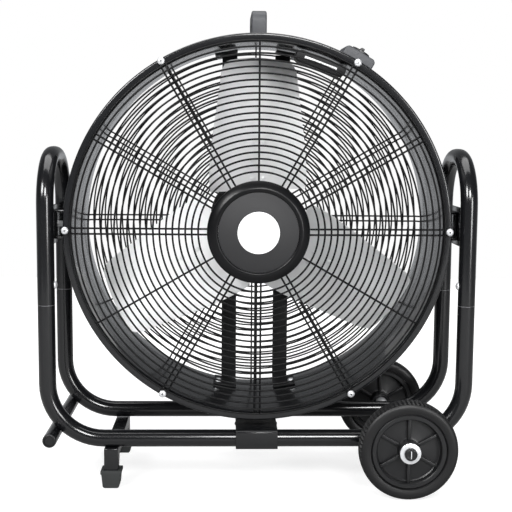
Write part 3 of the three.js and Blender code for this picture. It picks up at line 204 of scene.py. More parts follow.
# ------------------------------------------------------------------ mesh helpers
class Piece:
    """One visible object, gathered from several closed surfaces given in millimetres."""

    def __init__(self, name, mat, sharp=35):
        self.name, self.mat, self.sharp = name, mat, math.radians(sharp)
        self.bm = bmesh.new()

    def add(self, verts, faces, matrix=HERE):
        """Adds a surface, moved by the matrix."""
        new = [self.bm.verts.new(matrix @ Vector(v)) for v in verts]
        for f in faces:
            self.bm.faces.new([new[i] for i in f])
        return self

    def lathe(self, outline, segments, matrix=HERE):
        """Turns a closed outline of (radius, y) round Y."""
        verts, faces, n = [], [], len(outline)
        for s in range(segments):
            a = 2 * math.pi * s / segments
            verts += [(r * math.cos(a), y, r * math.sin(a)) for r, y in outline]
        for s in range(segments):
            t = (s + 1) % segments
            for i in range(n):
                j = (i + 1) % n
                if outline[i][0] == 0 and outline[j][0] == 0:
                    continue
                faces.append((s * n + i, s * n + j, t * n + j, t * n + i))
        return self.add(verts, faces, matrix)

    def sweep(self, path, radius, sides, closed=False, matrix=HERE):
        """A round bar along a path, with flat ends or closed into a ring."""
        pts = [Vector(p) for p in path]
        n = len(pts)
        tangents = []
        for i in range(n):
            a = pts[(i - 1) % n] if closed or i > 0 else pts[0]
            b = pts[(i + 1) % n] if closed or i < n - 1 else pts[-1]
            tangents.append((b - a).normalized())
        normal = tangents[0].orthogonal().normalized()
        verts, rings = [], []
        for i in range(n):
            if i:
                turn = tangents[i - 1].rotation_difference(tangents[i])
                normal = turn @ normal
            side = tangents[i].cross(normal)
            rings.append(len(verts))
            for s in range(sides):
                a = 2 * math.pi * s / sides
                verts.append(pts[i] + radius * (math.cos(a) * normal + math.sin(a) * side))
        faces = []
        for i in range(n if closed else n - 1):
            p, q = rings[i], rings[(i + 1) % n]
            shift = 0
            if closed and i == n - 1:
                shift = min(range(sides), key=lambda k: (verts[p] - verts[q + k]).length)
            for s in range(sides):
                t = (s + 1) % sides
                faces.append((p + s, p + t, q + (t + shift) % sides, q + (s + shift) % sides))
        if not closed:
            faces.append(tuple(range(sides - 1, -1, -1)))
            faces.append(tuple(rings[-1] + s for s in range(sides)))
        return self.add(verts, faces, matrix)

    def prism(self, outline, low, high, matrix=HERE):
        """A flat outline of (x, z) pushed along Y from low to high."""
        n = len(outline)
        verts = [(x, low, z) for x, z in outline] + [(x, high, z) for x, z in outline]
        faces = [tuple(range(n - 1, -1, -1)), tuple(range(n, 2 * n))]
        faces += [(i, (i + 1) % n, n + (i + 1) % n, n + i) for i in range(n)]
        return self.add(verts, faces, matrix)

    def box(self, size, centre, matrix=HERE, bevel=0.0):
        """A block, with rounded edges where bevel is given."""
        x, y, z = (s / 2 for s in size)
        part = bmesh.new()
        corners = [(sx * x, sy * y, sz * z) for sx in (-1, 1) for sy in (-1, 1) for sz in (-1, 1)]
        new = [part.verts.new(Vector(c) + Vector(centre)) for c in corners]
        for f in ((0, 1, 3, 2), (4, 6, 7, 5), (0, 4, 5, 1), (2, 3, 7, 6), (0, 2, 6, 4), (1, 5, 7, 3)):
            part.faces.new([new[i] for i in f])
        if bevel:
            bmesh.ops.bevel(part, geom=part.edges[:], offset=bevel, segments=3, profile=0.5, affect="EDGES")
        return self.take(part, matrix)

    def take(self, part, matrix=HERE):
        """Moves another mesh's surfaces into this piece."""
        part.verts.index_update()
        verts = [v.co.copy() for v in part.verts]
        faces = [[v.index for v in f.verts] for f in part.faces]
        part.free()
        return self.add(verts, faces, matrix)

    def rounded(self, offset, segments=3, angle=30):
        """Bevels every edge sharper than the angle."""
        bmesh.ops.remove_doubles(self.bm, verts=self.bm.verts, dist=0.001)
        bmesh.ops.recalc_face_normals(self.bm, faces=self.bm.faces)
        edges = [e for e in self.bm.edges if len(e.link_faces) == 2
                 and e.calc_face_angle(0) > math.radians(angle)]
        bmesh.ops.bevel(self.bm, geom=edges, offset=offset, segments=segments, profile=0.5,
                        affect="EDGES", clamp_overlap=True)
        return self

    def place(self, nodes=(), body="stand", matrix=HERE):
        """Makes the object in metres, in place of the solid nodes named, riding the body."""
        bm = self.bm
        bmesh.ops.remove_doubles(bm, verts=bm.verts, dist=0.0005)
        bmesh.ops.dissolve_degenerate(bm, edges=bm.edges, dist=0.0005)
        bmesh.ops.recalc_face_normals(bm, faces=bm.faces)
        for f in bm.faces:
            f.smooth = True
        for e in bm.edges:
            e.smooth = len(e.link_faces) == 2 and e.calc_face_angle(0) < self.sharp
        bmesh.ops.scale(bm, vec=(MM, MM, MM), verts=bm.verts)
        bm.transform(matrix)
        mesh = bpy.data.meshes.new(self.name)
        bm.to_mesh(mesh)
        bm.free()
        mesh.materials.append(self.mat)
        obj = bpy.data.objects.new(self.name, mesh)
        bpy.context.scene.collection.objects.link(obj)
        if nodes:
            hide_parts(*nodes)
        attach(obj, body)
        return obj


def turn_y(degrees):
    return Matrix.Rotation(-math.radians(degrees), 4, "Y")


def turn_z(degrees):
    return Matrix.Rotation(math.radians(degrees), 4, "Z")


def move(x, y, z):
    return Matrix.Translation((x, y, z))


def bent(corners, radius, steps=14):
    """A path through corner points with round bends."""
    pts = [Vector(c) for c in corners]
    path = [pts[0]]
    for a, b, c in zip(pts, pts[1:], pts[2:]):
        into, out = (b - a).normalized(), (c - b).normalized()
        turn = into.angle(out)
        centre = b + (out - into).normalized() * radius / math.cos(turn / 2)
        start = b - into * radius * math.tan(turn / 2) - centre
        axis = into.cross(out).normalized()
        path += [centre + Matrix.Rotation(turn * s / steps, 3, axis) @ start for s in range(steps + 1)]
    return path + [pts[-1]]


def arc(cx, cy, radius, start, end, steps):
    """Points round a circle, angles in degrees."""
    angles = [math.radians(start + (end - start) * i / steps) for i in range(steps + 1)]
    return [(cx + radius * math.cos(a), cy + radius * math.sin(a)) for a in angles]


def circle_path(radius, y, steps):
    """Points of a ring round Y."""
    return [(radius * math.cos(2 * math.pi * i / steps), y, radius * math.sin(2 * math.pi * i / steps))
            for i in range(steps)]


# ------------------------------------------------------------------ stand tubes
for end, name in ENDS:
    y = end * FRAME_Y
    tube = Piece(f"{name}_lower_tube", PAINT)
    tube.sweep(bent([(-LEG_X, y, SEAM - 0.6), (-LEG_X, y, AXLE_HEIGHT), (LEG_X, y, AXLE_HEIGHT),
                     (LEG_X, y, SEAM - 0.6)], LOWER_BEND), TUBE_RADIUS, TUBE_SIDES)
    for x in (-LEG_X, LEG_X):
        tube.sweep([(x, y, SEAM - 10), (x, y, SEAM + 58)], PLUG_RADIUS, 32)
    tube.place([f"{name}_lower_frame"])
for side, name in SIDES:
    x = side * LEG_X
    tube = Piece(f"{name}_arch_tube", PAINT)
    tube.sweep(bent([(x, -FRAME_Y, SEAM + 0.5), (x, -FRAME_Y, ARCH_HEIGHT), (x, FRAME_Y, ARCH_HEIGHT),
                     (x, FRAME_Y, SEAM + 0.5)], ARCH_BEND), TUBE_RADIUS, TUBE_SIDES)
    tube.place([f"{name}_arch"])

# a thin ring fills the gap where each arch meets its lower frame; its light, patchy colour is painted
# highlight, the glints on the tube ends at the seam
for side, side_name in SIDES:
    for end, end_name in ENDS:
        x, y = side * LEG_X, end * FRAME_Y
        ring = Piece(f"seam_{end_name}_{side_name}", SEAM_GLINT)
        ring.sweep([(x, y, SEAM - 0.5), (x, y, SEAM + 0.4)], TUBE_RADIUS - 0.5, TUBE_SIDES).place()

BOLT = [(0, -4.4), (2.5, -4.2), (4.6, -3.4), (6.2, -2.0), (7.0, -0.4), (7.0, 0), (3, 0), (3, 22), (0, 22)]
for side, side_name in SIDES:
    for end, end_name in ENDS:
        bolt_at = move(side * (LEG_X - TUBE_RADIUS - 0.3), end * FRAME_Y, ARCH_BOLT_Z) @ turn_z(-90 * side)
        head = Piece(f"arch_bolt_{end_name}_{side_name}_head", ZINC, 50).lathe(BOLT, 28, bolt_at)
        head.place([f"arch_bolt_{end_name}_{side_name}"])

# ------------------------------------------------------------------ cross member and foot rail
saddle = Piece("cross_member_sheet", PAINT)
inner = FRAME_Y + TUBE_RADIUS + SEAT_GAP
outer, under = inner + SHEET, SADDLE_TOP - SHEET
low = AXLE_HEIGHT - TUBE_RADIUS - 0.5
saddle_outline = [(-outer, low), (-inner, low), (-inner, under), (inner, under), (inner, low), (outer, low),
                  (outer, SADDLE_TOP - 3), (outer - 3, SADDLE_TOP), (-outer + 3, SADDLE_TOP),
                  (-outer, SADDLE_TOP - 3)]
saddle.prism(saddle_outline, -SADDLE_HALF, SADDLE_HALF, ALONG_X)
saddle.rounded(0.8, 2)
for side in (-1, 1):
    for y in (-54, 54):
        saddle.lathe([(0, -3), (2.4, -2.4), (3.6, -1), (3.6, 3), (0, 3)], 20,
                     move(side * (SADDLE_HALF - 1.2), y, SADDLE_TOP - 3.8) @ turn_z(90 * side))
saddle.place(["cross_member"])

rail = Piece("foot_rail_steel", PAINT)
leg_outer, leg_inner = FRAME_Y + 15, FRAME_Y - 9
rail_top = AXLE_HEIGHT - TUBE_RADIUS - SEAT_GAP
rail_outline = [(-leg_outer, 12.5), (-leg_inner, 12.5), (-leg_inner, 34), (-leg_inner + 9, rail_top - 18),
                (leg_inner - 9, rail_top - 18), (leg_inner, 34), (leg_inner, 12.5), (leg_outer, 12.5),
                (leg_outer, rail_top), (-leg_outer, rail_top)]
rail.prism(rail_outline, -RAIL_HALF, RAIL_HALF, move(FOOT_X, 0, 0) @ ALONG_X)
rail.rounded(1.6, 3)
rail.place(["foot_rail"])

pad_outline = [(-11, 0.2), (11, 0.2), (13.4, 1.2), (14.6, 3.6), (16.6, 24), (18.3, 25), (18.3, 30.9),
               (-18.3, 30.9), (-18.3, 25), (-16.6, 24), (-14.6, 3.6), (-13.4, 1.2)]
for end, name in ENDS:
    y = end * FOOT_Y
    pad = Piece(f"{name}_foot_rubber", RUBBER)
    pad.prism(pad_outline, y - FOOT_HALF, y + FOOT_HALF, move(FOOT_X, 0, 0))
    pad.rounded(1.1, 3)
    pad.place([f"{name}_foot"])

# ------------------------------------------------------------------ lift bar
lift_reach = (LOWER_BEND + TUBE_RADIUS) * math.cos(math.radians(9)) + LIFT_RADIUS + SEAT_GAP
LIFT_X = LOWER_BEND - LEG_X - lift_reach * math.sqrt(0.5)
LIFT_Z = LOWER_BEND + AXLE_HEIGHT - lift_reach * math.sqrt(0.5)
lift = Piece("lift_bar_tube", PAINT)
lift.sweep([(LIFT_X, -LIFT_HALF, LIFT_Z), (LIFT_X, LIFT_HALF, LIFT_Z)], LIFT_RADIUS, 40).place(["lift_bar"])
plug_outline = [(0, -1.1), (8, -1.1), (8.8, -2.8), (9.6, -3), (11, -2.4), (11.9, -1.4), (12, 0), (0, 0)]
for end, name in ENDS:
    plug_at = move(LIFT_X, end * (LIFT_HALF + 0.2), LIFT_Z) @ turn_z(0 if end < 0 else 180)
    plug = Piece(f"lift_bar_plug_{name}", BLACK_PLASTIC, 50).lathe(plug_outline, 40, plug_at)
    plug.place([f"lift_bar_cap_{name}"])

# ------------------------------------------------------------------ axle and wheels
axle = Piece("axle_rod", AXLE_STEEL)
axle.sweep([(AXLE_X, -AXLE_HALF, AXLE_HEIGHT), (AXLE_X, AXLE_HALF, AXLE_HEIGHT)], AXLE_RADIUS, 32)
axle.place(["axle"])


def on_axle(end, y):
    """Place of a turned piece on the axle, its outer face towards -Y before the turn."""
    return move(AXLE_X, end * y, AXLE_HEIGHT) @ turn_z(0 if end < 0 else 180)


def tread(wheel_piece, matrix):
    """Tyre turned as a fine grid whose crown is grooved in zigzag rows."""
    across, around, zigzags = 40, 432, 72
    row_pitch, groove_share, groove_depth, zigzag = 6.2, 0.4, 2.2, 3.6
    verts, faces = [], []
    shoulder = [(TYRE_INNER, -16.5), (TYRE_INNER + 1.5, -18.6), (WHEEL_RADIUS - 14, -19.8),
                (WHEEL_RADIUS - 8.5, -20), (WHEEL_RADIUS - 5, -19.2), (WHEEL_RADIUS - 2.3, -17.2)]
    shares = [(i / across) * 2 - 1 for i in range(across + 1)]
    crown = [(WHEEL_RADIUS - 0.1 - 1.5 * abs(t) ** 3.2, 15.6 * t) for t in shares]
    outline = shoulder + crown + [(r, -y) for r, y in reversed(shoulder)]
    n = len(outline)
    first, last = len(shoulder), len(shoulder) + len(crown)
    for s in range(around):
        a = 2 * math.pi * s / around
        zig = abs(((s / around * zigzags) % 1) * 2 - 1) * zigzag
        for i, (r, y) in enumerate(outline):
            if first <= i < last and ((y + 20 + zig) % row_pitch) / row_pitch < groove_share:
                r -= groove_depth
            verts.append((r * math.cos(a), y, r * math.sin(a)))
    for s in range(around):
        t = (s + 1) % around
        for i in range(n):
            j = (i + 1) % n
            faces.append((s * n + i, s * n + j, t * n + j, t * n + i))
    return wheel_piece.add(verts, faces, matrix)


rim_outline = [(AXLE_BORE, -24), (17.5, -24), (19, -22.5), (19.6, -4), (23, -3), (53, -3), (55, -4.5),
               (55.7, -15.8), (57, -17), (63, -17), (64.6, -15.6), (64.7, 15.6), (63, 17), (57, 17),
               (55.7, 15.8), (55, 4.5), (53, 3), (23, 3), (19.6, 4), (19, 22.5), (17.5, 24), (AXLE_BORE, 24)]
sleeve_outline = [(AXLE_BORE, 0), (11.6, 0), (12, 0.5), (12, 28.4), (11.6, 28.9), (AXLE_BORE, 28.9)]
washer_outline = [(AXLE_BORE, 0.1), (17.4, 0.1), (18, 0.7), (18, 1.9), (17.4, 2.4), (AXLE_BORE, 2.4)]
push_outline = [(0, -6.3), (6.8, -6.3), (8.8, -6.9), (10.2, -6), (10.8, -4.5), (10.8, 0), (0, 0)]
for end, name in ENDS:
    at = on_axle(end, WHEEL_Y)
    tread(Piece(f"{name}_tyre_tread", TYRE, 28), at).place([f"{name}_tyre"], f"{name}_wheel")
    rim = Piece(f"{name}_rim_moulding", BLACK_PLASTIC).lathe(rim_outline, 96, at)
    for k in range(6):
        rim.box((38, 20, 6), (37, 0, 0), at @ turn_y(60 * k + 30), 1.2)
    rim.place([f"{name}_wheel_rim"], f"{name}_wheel")
    sleeve = Piece(f"{name}_spacer_sleeve", ZINC, 50).lathe(sleeve_outline, 32, on_axle(end, 143.3))
    sleeve.place([f"{name}_wheel_spacer"])
    washer = Piece(f"{name}_washer_disc", ZINC, 50).lathe(washer_outline, 48, on_axle(end, 194.3))
    washer.place([f"{name}_wheel_washer"])
    cap_at = on_axle(end, 194.6)
    cap = Piece(f"{name}_axle_cap_push", BLACK_PLASTIC, 50).lathe(push_outline, 40, cap_at)
    cap.place([f"{name}_axle_cap"])
    Piece(f"{name}_axle_cap_slot", ZINC).box((1.5, 0.5, 13), (0, -6.65, 0), cap_at, 0.2).place()

# ------------------------------------------------------------------ drum shell
edge = (arc(326, 105, 6, 180, 90, 8) + arc(332, 107.5, 3.5, 90, 0, 6)
        + [(335.5, 100.5), (334.6, 99.2), (333.6, 100.5), (333.6, 107.2)] + arc(331.6, 107.2, 2, 0, 90, 4)
        + arc(326.4, 105, 4.2, 90, 180, 6))
shell_outline = edge + [(r, -y) for r, y in reversed(edge)]
Piece("drum_barrel", SHELL, 40).lathe(shell_outline, 256).place(["drum_shell"], "drum", DRUM)


# ------------------------------------------------------------------ guards
LANDING = SCREW_RADIUS - 6.4 - 1
SEAT = HALF_DEPTH + 0.3 + WIRE


def wire_depth(r):
    """How far out a guard wire lies at radius r: a step at the rim, then a slow rise to the hub."""
    share = min(max((LANDING - r) / (LANDING - GUARD_EDGE), 0), 1)
    share = share * share * (3 - 2 * share)
    flat = max(GUARD_EDGE - r, 0) / (GUARD_EDGE - GUARD_HUB)
    return SEAT + GUARD_DOME * (0.7 * share + 0.3 * flat)


def guard(name, node, singles, pairs, hairpins, turn, thick, plate_inner):
    """Rings, single and double spokes at the angles given, and hairpins that hold the screws."""
    g = Piece(name, WIRE_PAINT, 60)
    out = [WIRE_START + (GUARD_EDGE - WIRE_START) * i / 10 for i in range(11)]
    out += [316, 318, 320, LANDING - 0.4]
    for a in singles:
        g.sweep([(r, -wire_depth(r) - 1.2, 0) for r in out], thick, 10, matrix=turn @ turn_y(a))
    for a in pairs:
        for s in (-PAIR_HALF, PAIR_HALF):
            g.sweep([(r, -wire_depth(r), s) for r in out], thick, 10, matrix=turn @ turn_y(a))
    for a in hairpins:
        leg = [(r, -wire_depth(r), -PAIR_HALF) for r in out[:-1] + [LANDING]]
        loop = [(SCREW_RADIUS + PAIR_HALF * math.cos(t), -SEAT, PAIR_HALF * math.sin(t))
                for t in [math.pi * (i / 12 - 0.5) for i in range(13)]]
        g.sweep(leg + loop + [(x, y, -z) for x, y, z in reversed(leg)], thick, 10, matrix=turn @ turn_y(a))
    for i in range(RING_COUNT):
        r = FIRST_RING + RING_PITCH * i
        lift = 2 * thick if i < RING_COUNT - 1 else 0.9
        g.sweep(circle_path(r, -wire_depth(r) - lift, 144), thick * 0.96, 8, closed=True, matrix=turn)
    d = wire_depth(GUARD_HUB)
    g.lathe([(plate_inner, -d - 1.2), (GUARD_HUB - 1, -d - 1.2), (GUARD_HUB, -d - 0.6), (GUARD_HUB, -d + 0.6),
             (GUARD_HUB - 1, -d + 1.2), (plate_inner, -d + 1.2)], 96, turn)
    g.place([node], "drum", DRUM)


guard("front_guard_wires", "front_guard", (90, 210, 330), (30, 150, 270), range(0, 360, 60), HERE, WIRE, 72)
guard("rear_guard_wires", "rear_guard", (90, 210, 330), (0, 30, 150, 180, 270), (60, 120, 240, 300),
      turn_z(180), REAR_WIRE, 0)

SCREW = [(0, -4), (2.2, -3.9), (4.4, -3.2), (5.8, -2.1), (6.4, -0.8), (6.4, 0), (2.4, 0), (2.4, 9.5),
         (0, 9.5)]


def guard_screw(name, node, degrees, y, turn):
    """A round head with a cross recess drawn as dark strips of painted shade, at an angle on the screw
    circle.
    """
    a = math.radians(degrees)
    at = move(SCREW_RADIUS * math.cos(a), y, SCREW_RADIUS * math.sin(a)) @ turn_z(turn)
    Piece(name, ZINC, 50).lathe(SCREW, 28, at).place([node], "drum", DRUM)
    # the recess is not cut: two dark strips on the head are its painted shade
    cross = Piece(name + "_recess", SHADOW)
    for k in (0, 90):
        cross.box((4.6, 0.5, 1.0), (0, -3.85, 0), at @ turn_y(k + 20))
    cross.place((), "drum", DRUM)


for i in range(6):
    guard_screw(f"front_screw_{i + 1}", f"front_guard_screw_{i + 1}", 60 * i, -SCREW_Y, 0)
for i, degrees in enumerate((60, 120, 240, 300)):
    guard_screw(f"rear_screw_{i + 1}", f"rear_guard_screw_{i + 1}", degrees, SCREW_Y, 180)

# ------------------------------------------------------------------ centre cap
cap_seat = wire_depth(WIRE_START) + 1.2 + WIRE + SEAT_GAP
face = cap_seat + CAP_RISE
Piece("centre_cap_bevel", CAP_GLOSS, 40).lathe(
    [(CAP_FACE, -face + 3), (CAP_FACE, -face + 1.6), (CAP_FACE + 1.4, -face + 0.4),
     (CAP_FACE + 2.4, -face), (CAP_FACE + 6, -face), (CAP_FACE + 8, -face + 0.5),
     (CAP_RADIUS - 2.4, -cap_seat - 6.4), (CAP_RADIUS - 0.6, -cap_seat - 4.8),
     (CAP_RADIUS, -cap_seat - 3.4), (CAP_RADIUS, -cap_seat), (CAP_RADIUS - 3, -cap_seat),
     (CAP_RADIUS - 4, -cap_seat - 4), (CAP_FACE + 4, -face + 5), (CAP_FACE, -face + 5)],
    128).place(["centre_cap"], "drum", DRUM)
Piece("centre_cap_face", CAP_PLASTIC, 40).lathe(
    [(0, -face + 2), (CAP_FACE - 0.6, -face + 2), (CAP_FACE - 0.1, -face + 2.4), (CAP_FACE - 0.1, -face + 5),
     (0, -face + 5)], 128).place((), "drum", DRUM)
back = -face + 1.7
Piece("cap_badge_disc", BADGE, 40).lathe(
    [(0, back), (BADGE_RADIUS, back), (BADGE_RADIUS, back - 0.9), (BADGE_RADIUS - 0.7, back - 1.5),
     (0, back - 1.5)], 96).place(["cap_badge"], "drum", DRUM)

# ------------------------------------------------------------------ motor and struts
motor = Piece("motor_casing", DARK_STEEL, 30)
motor.lathe([(7.4, 26), (26, 26), (29, 28), (31, 31), (60, 33.5), (67, 35), (72, 38), (75, 42), (75, 73),
             (73.6, 76), (69, 86), (0, 86), (0, 48), (7.4, 48)], 96)
for k in range(24):
    motor.box((3, 26, 1.8), (74.8, 58, 0), turn_y(15 * k), 0.5)
motor.place(["motor_housing"], "drum", DRUM)
wall_inside = BARREL * math.cos(FACET) - SEAT_GAP
bar_half, foot_half, foot_thick = 14, 21, 4
head_outline = [(0, 6.2), (2.4, 6), (4.4, 5), (5.4, 3.4), (5.6, 1), (5.6, -0.4), (0, -0.4)]
lean = math.asin((STRUT_X + 7) / wall_inside)
foot_radius = math.sqrt(wall_inside ** 2 - foot_half ** 2) - foot_thick / 2
bar_end = math.sqrt(foot_radius ** 2 - (STRUT_X + bar_half) ** 2)
for side, name in SIDES:
    strut = Piece(f"{name}_motor_strut_bar", STRUT_PAINT)
    strut.box((2 * bar_half, 6, 2 * bar_end), (side * STRUT_X, STRUT_FRONT + 3, 0), HERE, 1.0)
    heads = Piece(f"{name}_strut_bolts", ZINC, 50)
    for end in (-1, 1):
        around = Matrix.Rotation(side * end * lean, 4, "Y")
        strut.box((2 * foot_half, 60, foot_thick), (0, STRUT_FRONT - 24, end * foot_radius), around, 1.0)
        head_y = STRUT_FRONT - (7 if end > 0 else 40)
        seat = move(side * 14, head_y, end * (foot_radius - foot_thick / 2))
        heads.lathe(head_outline, 24, around @ seat @ Matrix.Rotation(-end * math.pi / 2, 4, "X"))
    strut.place([f"{name}_motor_strut"], "drum", DRUM)
    heads.place((), "drum", DRUM)

# ------------------------------------------------------------------ rotor
Piece("shaft_rod", ZINC).sweep([(0, -8, 0), (0, 46, 0)], 7, 32).place(["rotor_shaft"], "rotor", DRUM)


def pitched(x, y, z, angle, matrix):
    """A point of a radial piece, pitched about X, seated at the blades' middle plane."""
    return matrix @ Vector((x, y * math.cos(angle) - z * math.sin(angle) + BLADE_MIDDLE,
                            y * math.sin(angle) + z * math.cos(angle)))


def sheet_grid(piece, rows, columns, at, thickness):
    """A closed sheet over a grid of points at(i, j, side)."""
    verts = [at(i, j, s * thickness / 2)
             for s in (-1, 1) for i in range(rows + 1) for j in range(columns + 1)]
    w = columns + 1
    n = (rows + 1) * w
    faces = []
    for i in range(rows):
        for j in range(columns):
            a, b, c, d = i * w + j, i * w + j + 1, (i + 1) * w + j + 1, (i + 1) * w + j
            faces += [(a, b, c, d), (n + d, n + c, n + b, n + a)]
    rim = [(0, j) for j in range(columns)] + [(i, columns) for i in range(rows)]
    rim += [(rows, j) for j in range(columns, 0, -1)] + [(i, 0) for i in range(rows, 0, -1)]
    for (i, j), (k, m) in zip(rim, rim[1:] + rim[:1]):
        p, q = i * w + j, k * w + m
        faces.append((p, q, n + q, n + p))
    return piece.add(verts, faces)


def blade_chord(r):
    share = (r - BLADE_ROOT) / (BLADE_TIP - BLADE_ROOT)
    return BLADE_ROOT_CHORD + (BLADE_TIP_CHORD - BLADE_ROOT_CHORD) * share


def blade_point(matrix):
    """Rows, columns and points of a cambered, tapered blade with a round tip and rounded corners."""
    rows, columns = 40, 32

    def at(i, j, side):
        u, v = i / rows, j / columns * 2 - 1
        over = max(abs(v) * BLADE_TIP_CHORD / 2 - (BLADE_TIP_CHORD / 2 - BLADE_CORNER), 0)
        limit = BLADE_TIP - BLADE_CORNER + math.sqrt(BLADE_CORNER ** 2 - over ** 2)
        r = BLADE_ROOT + (limit - BLADE_ROOT) * u
        z = v * (blade_chord(r) / 2 - 12 * (1 - u) ** 6 * abs(v) ** 3)
        y = -3.3 - 12 * max(abs(v) - 0.33, 0) ** 2
        x = math.sqrt(max(r * r - (z * u) ** 2, 1))
        return pitched(x, y + side, z, BLADE_PITCH, matrix)

    return rows, columns, at


def arm_point(matrix):
    """Rows, columns and points of a spider arm, which twists from the hub to the blade's pitch."""
    rows, columns, straight = 20, 6, 17

    def at(i, j, side):
        r = 24 + 144 * i / rows
        share = min(max((r - 30) / 28, 0), 1)
        v = j / columns * 2 - 1
        half = 23 - max(i - straight, 0) ** 2 * 0.9
        return pitched(r, side, v * half, BLADE_PITCH * share, matrix)

    return rows, columns, at


spider = Piece("blade_spider_casting", DARK_STEEL)
spider.lathe([(7.4, 1), (17, 1), (20, 3), (21, 8), (28, 9.5), (30, 11.5), (30, 20), (29, 21), (7.4, 21)], 64)
rivet_outline = [(0, -2.2), (2.4, -1.9), (4.2, -0.9), (4.6, 0.4), (0, 0.4)]
for k in range(3):
    spin = turn_y(90 + 120 * k)
    sheet_grid(spider, *arm_point(spin), 4)
    rivets = Piece(f"blade_{k + 1}_rivets", ALUMINIUM, 50)
    tilt = spin @ Matrix.Rotation(BLADE_PITCH, 4, "X")
    for r in (84, 118, 150):
        for z in (-12, 12):
            p = pitched(r, -4.2, z, BLADE_PITCH, spin)
            rivets.lathe(rivet_outline, 20, Matrix.Translation(p) @ tilt)
    rivets.place((), "rotor", DRUM)
    paddle = sheet_grid(Piece(f"blade_{k + 1}_paddle", ALUMINIUM, 50), *blade_point(spin), 2)
    paddle.place([f"blade_{k + 1}"], "rotor", DRUM)
spider.place(["blade_spider"], "rotor", DRUM)

# ------------------------------------------------------------------ handle
HANDLE_TOP = BARREL + SHEET + 54
HANDLE_UNDER = HANDLE_TOP - 17
handle = Piece("carry_handle_grip", GREY_PLASTIC)
inside = arc(-39, HANDLE_UNDER - 10, 10, 180, 90, 6) + arc(39, HANDLE_UNDER - 10, 10, 90, 0, 6)
outside = arc(57, HANDLE_TOP - 18, 18, 0, 90, 8) + arc(-57, HANDLE_TOP - 18, 18, 90, 180, 8)
outline = ([(-75, WALL + 4), (-49, WALL + 4)] + inside + [(49, WALL + 4), (75, WALL + 4)] + outside)
handle.prism(outline, -13, 13, Matrix.Rotation(math.pi / 2, 4, "Z"))
handle.rounded(3.2, 4)
for side in (-1, 1):
    handle.box((33, 32, 5), (0, side * 61, WALL + 2.7), HERE, 1.6)
handle.place(["carry_handle"], "drum", DRUM)

# ------------------------------------------------------------------ control box, knob, inlet, wiring box
out = turn_y(BOX_ANGLE)
BOX_TOP = WALL + 31
case = Piece("control_box_case", GREY_PLASTIC)
case.prism([(WALL, -BOX_HALF), (BOX_TOP - 4.5, -BOX_HALF), (BOX_TOP, 4.5 - BOX_HALF),
            (BOX_TOP, BOX_HALF - 4.5), (BOX_TOP - 4.5, BOX_HALF), (WALL, BOX_HALF)], BOX_FRONT, BOX_BACK, out)
case.rounded(2.2, 3)
case.place(["control_box"], "drum", DRUM)
# the seam between the case's halves is a dark band of painted shade, where its gap would lie in shade
seam = Piece("control_box_seam", SHADOW)
seam_half = BOX_HALF + 0.15
seam.prism([(WALL + 11.6, -seam_half), (WALL + 12.4, -seam_half), (WALL + 12.4, seam_half),
            (WALL + 11.6, seam_half)], BOX_FRONT - 0.15, BOX_BACK + 0.15, out)
seam.place((), "drum", DRUM)
knob = Piece("speed_knob_grip", BLACK_PLASTIC, 30)
knob_at = out @ move(BOX_TOP, KNOB_Y, 0) @ turn_z(-90)
knob.lathe([(0, -4), (4, -4), (4, 0.4), (16.6, 0.4), (17, 0.9), (16.4, 4.2), (15.8, 4.6), (0, 4.6)],
           64, knob_at)
knob.box((29, 7, 6.6), (0, 5.5, 0), knob_at, 1.3)
for k in range(24):
    knob.box((1.2, 3.4, 1.6), (16.1, 2.3, 0), knob_at @ turn_y(15 * k), 0.3)
knob.place(["speed_knob"], "knob", DRUM)
inlet = Piece("cable_inlet_gland", BLACK_PLASTIC, 30)
inlet_at = out @ move(WALL + 15.5, BOX_BACK + SEAT_GAP, 0)
inlet.lathe([(3.6, 0), (7.6, 0), (8, 0.6), (8, 5), (7, 5.6), (7, 7), (6.6, 13), (5.4, 16), (3.6, 16)],
            40, inlet_at)
for k in range(6):
    inlet.box((2, 4.4, 4), (6.9, 2.6, 0), inlet_at @ turn_y(60 * k), 0.5)
inlet.place(["cable_inlet"], "drum", DRUM)

wall_in = math.sqrt(wall_inside ** 2 - 46 ** 2) - 0.2
wiring = Piece("wiring_box_cover", STRUT_PAINT)
end_radius, end_z = 10.4, 35
middle = wall_in - end_radius
wiring_outline = arc(middle, end_z, end_radius, 0, 180, 12) + arc(middle, -end_z, end_radius, 180, 360, 12)
wiring.prism(wiring_outline, WIRING_FRONT, WIRING_BACK, turn_y(WIRING_ANGLE))
wiring.rounded(2.6, 4)
wiring.place(["wiring_box"], "drum", DRUM)
# a light strip along the cover's front is a painted highlight, the streak of reflection on its rounded face
strip = Piece("wiring_box_painted_highlight", ALUMINIUM)
strip.box((5, 0.8, 58), (middle, WIRING_FRONT, 0), turn_y(WIRING_ANGLE), 0.3)
strip.place((), "drum", DRUM)

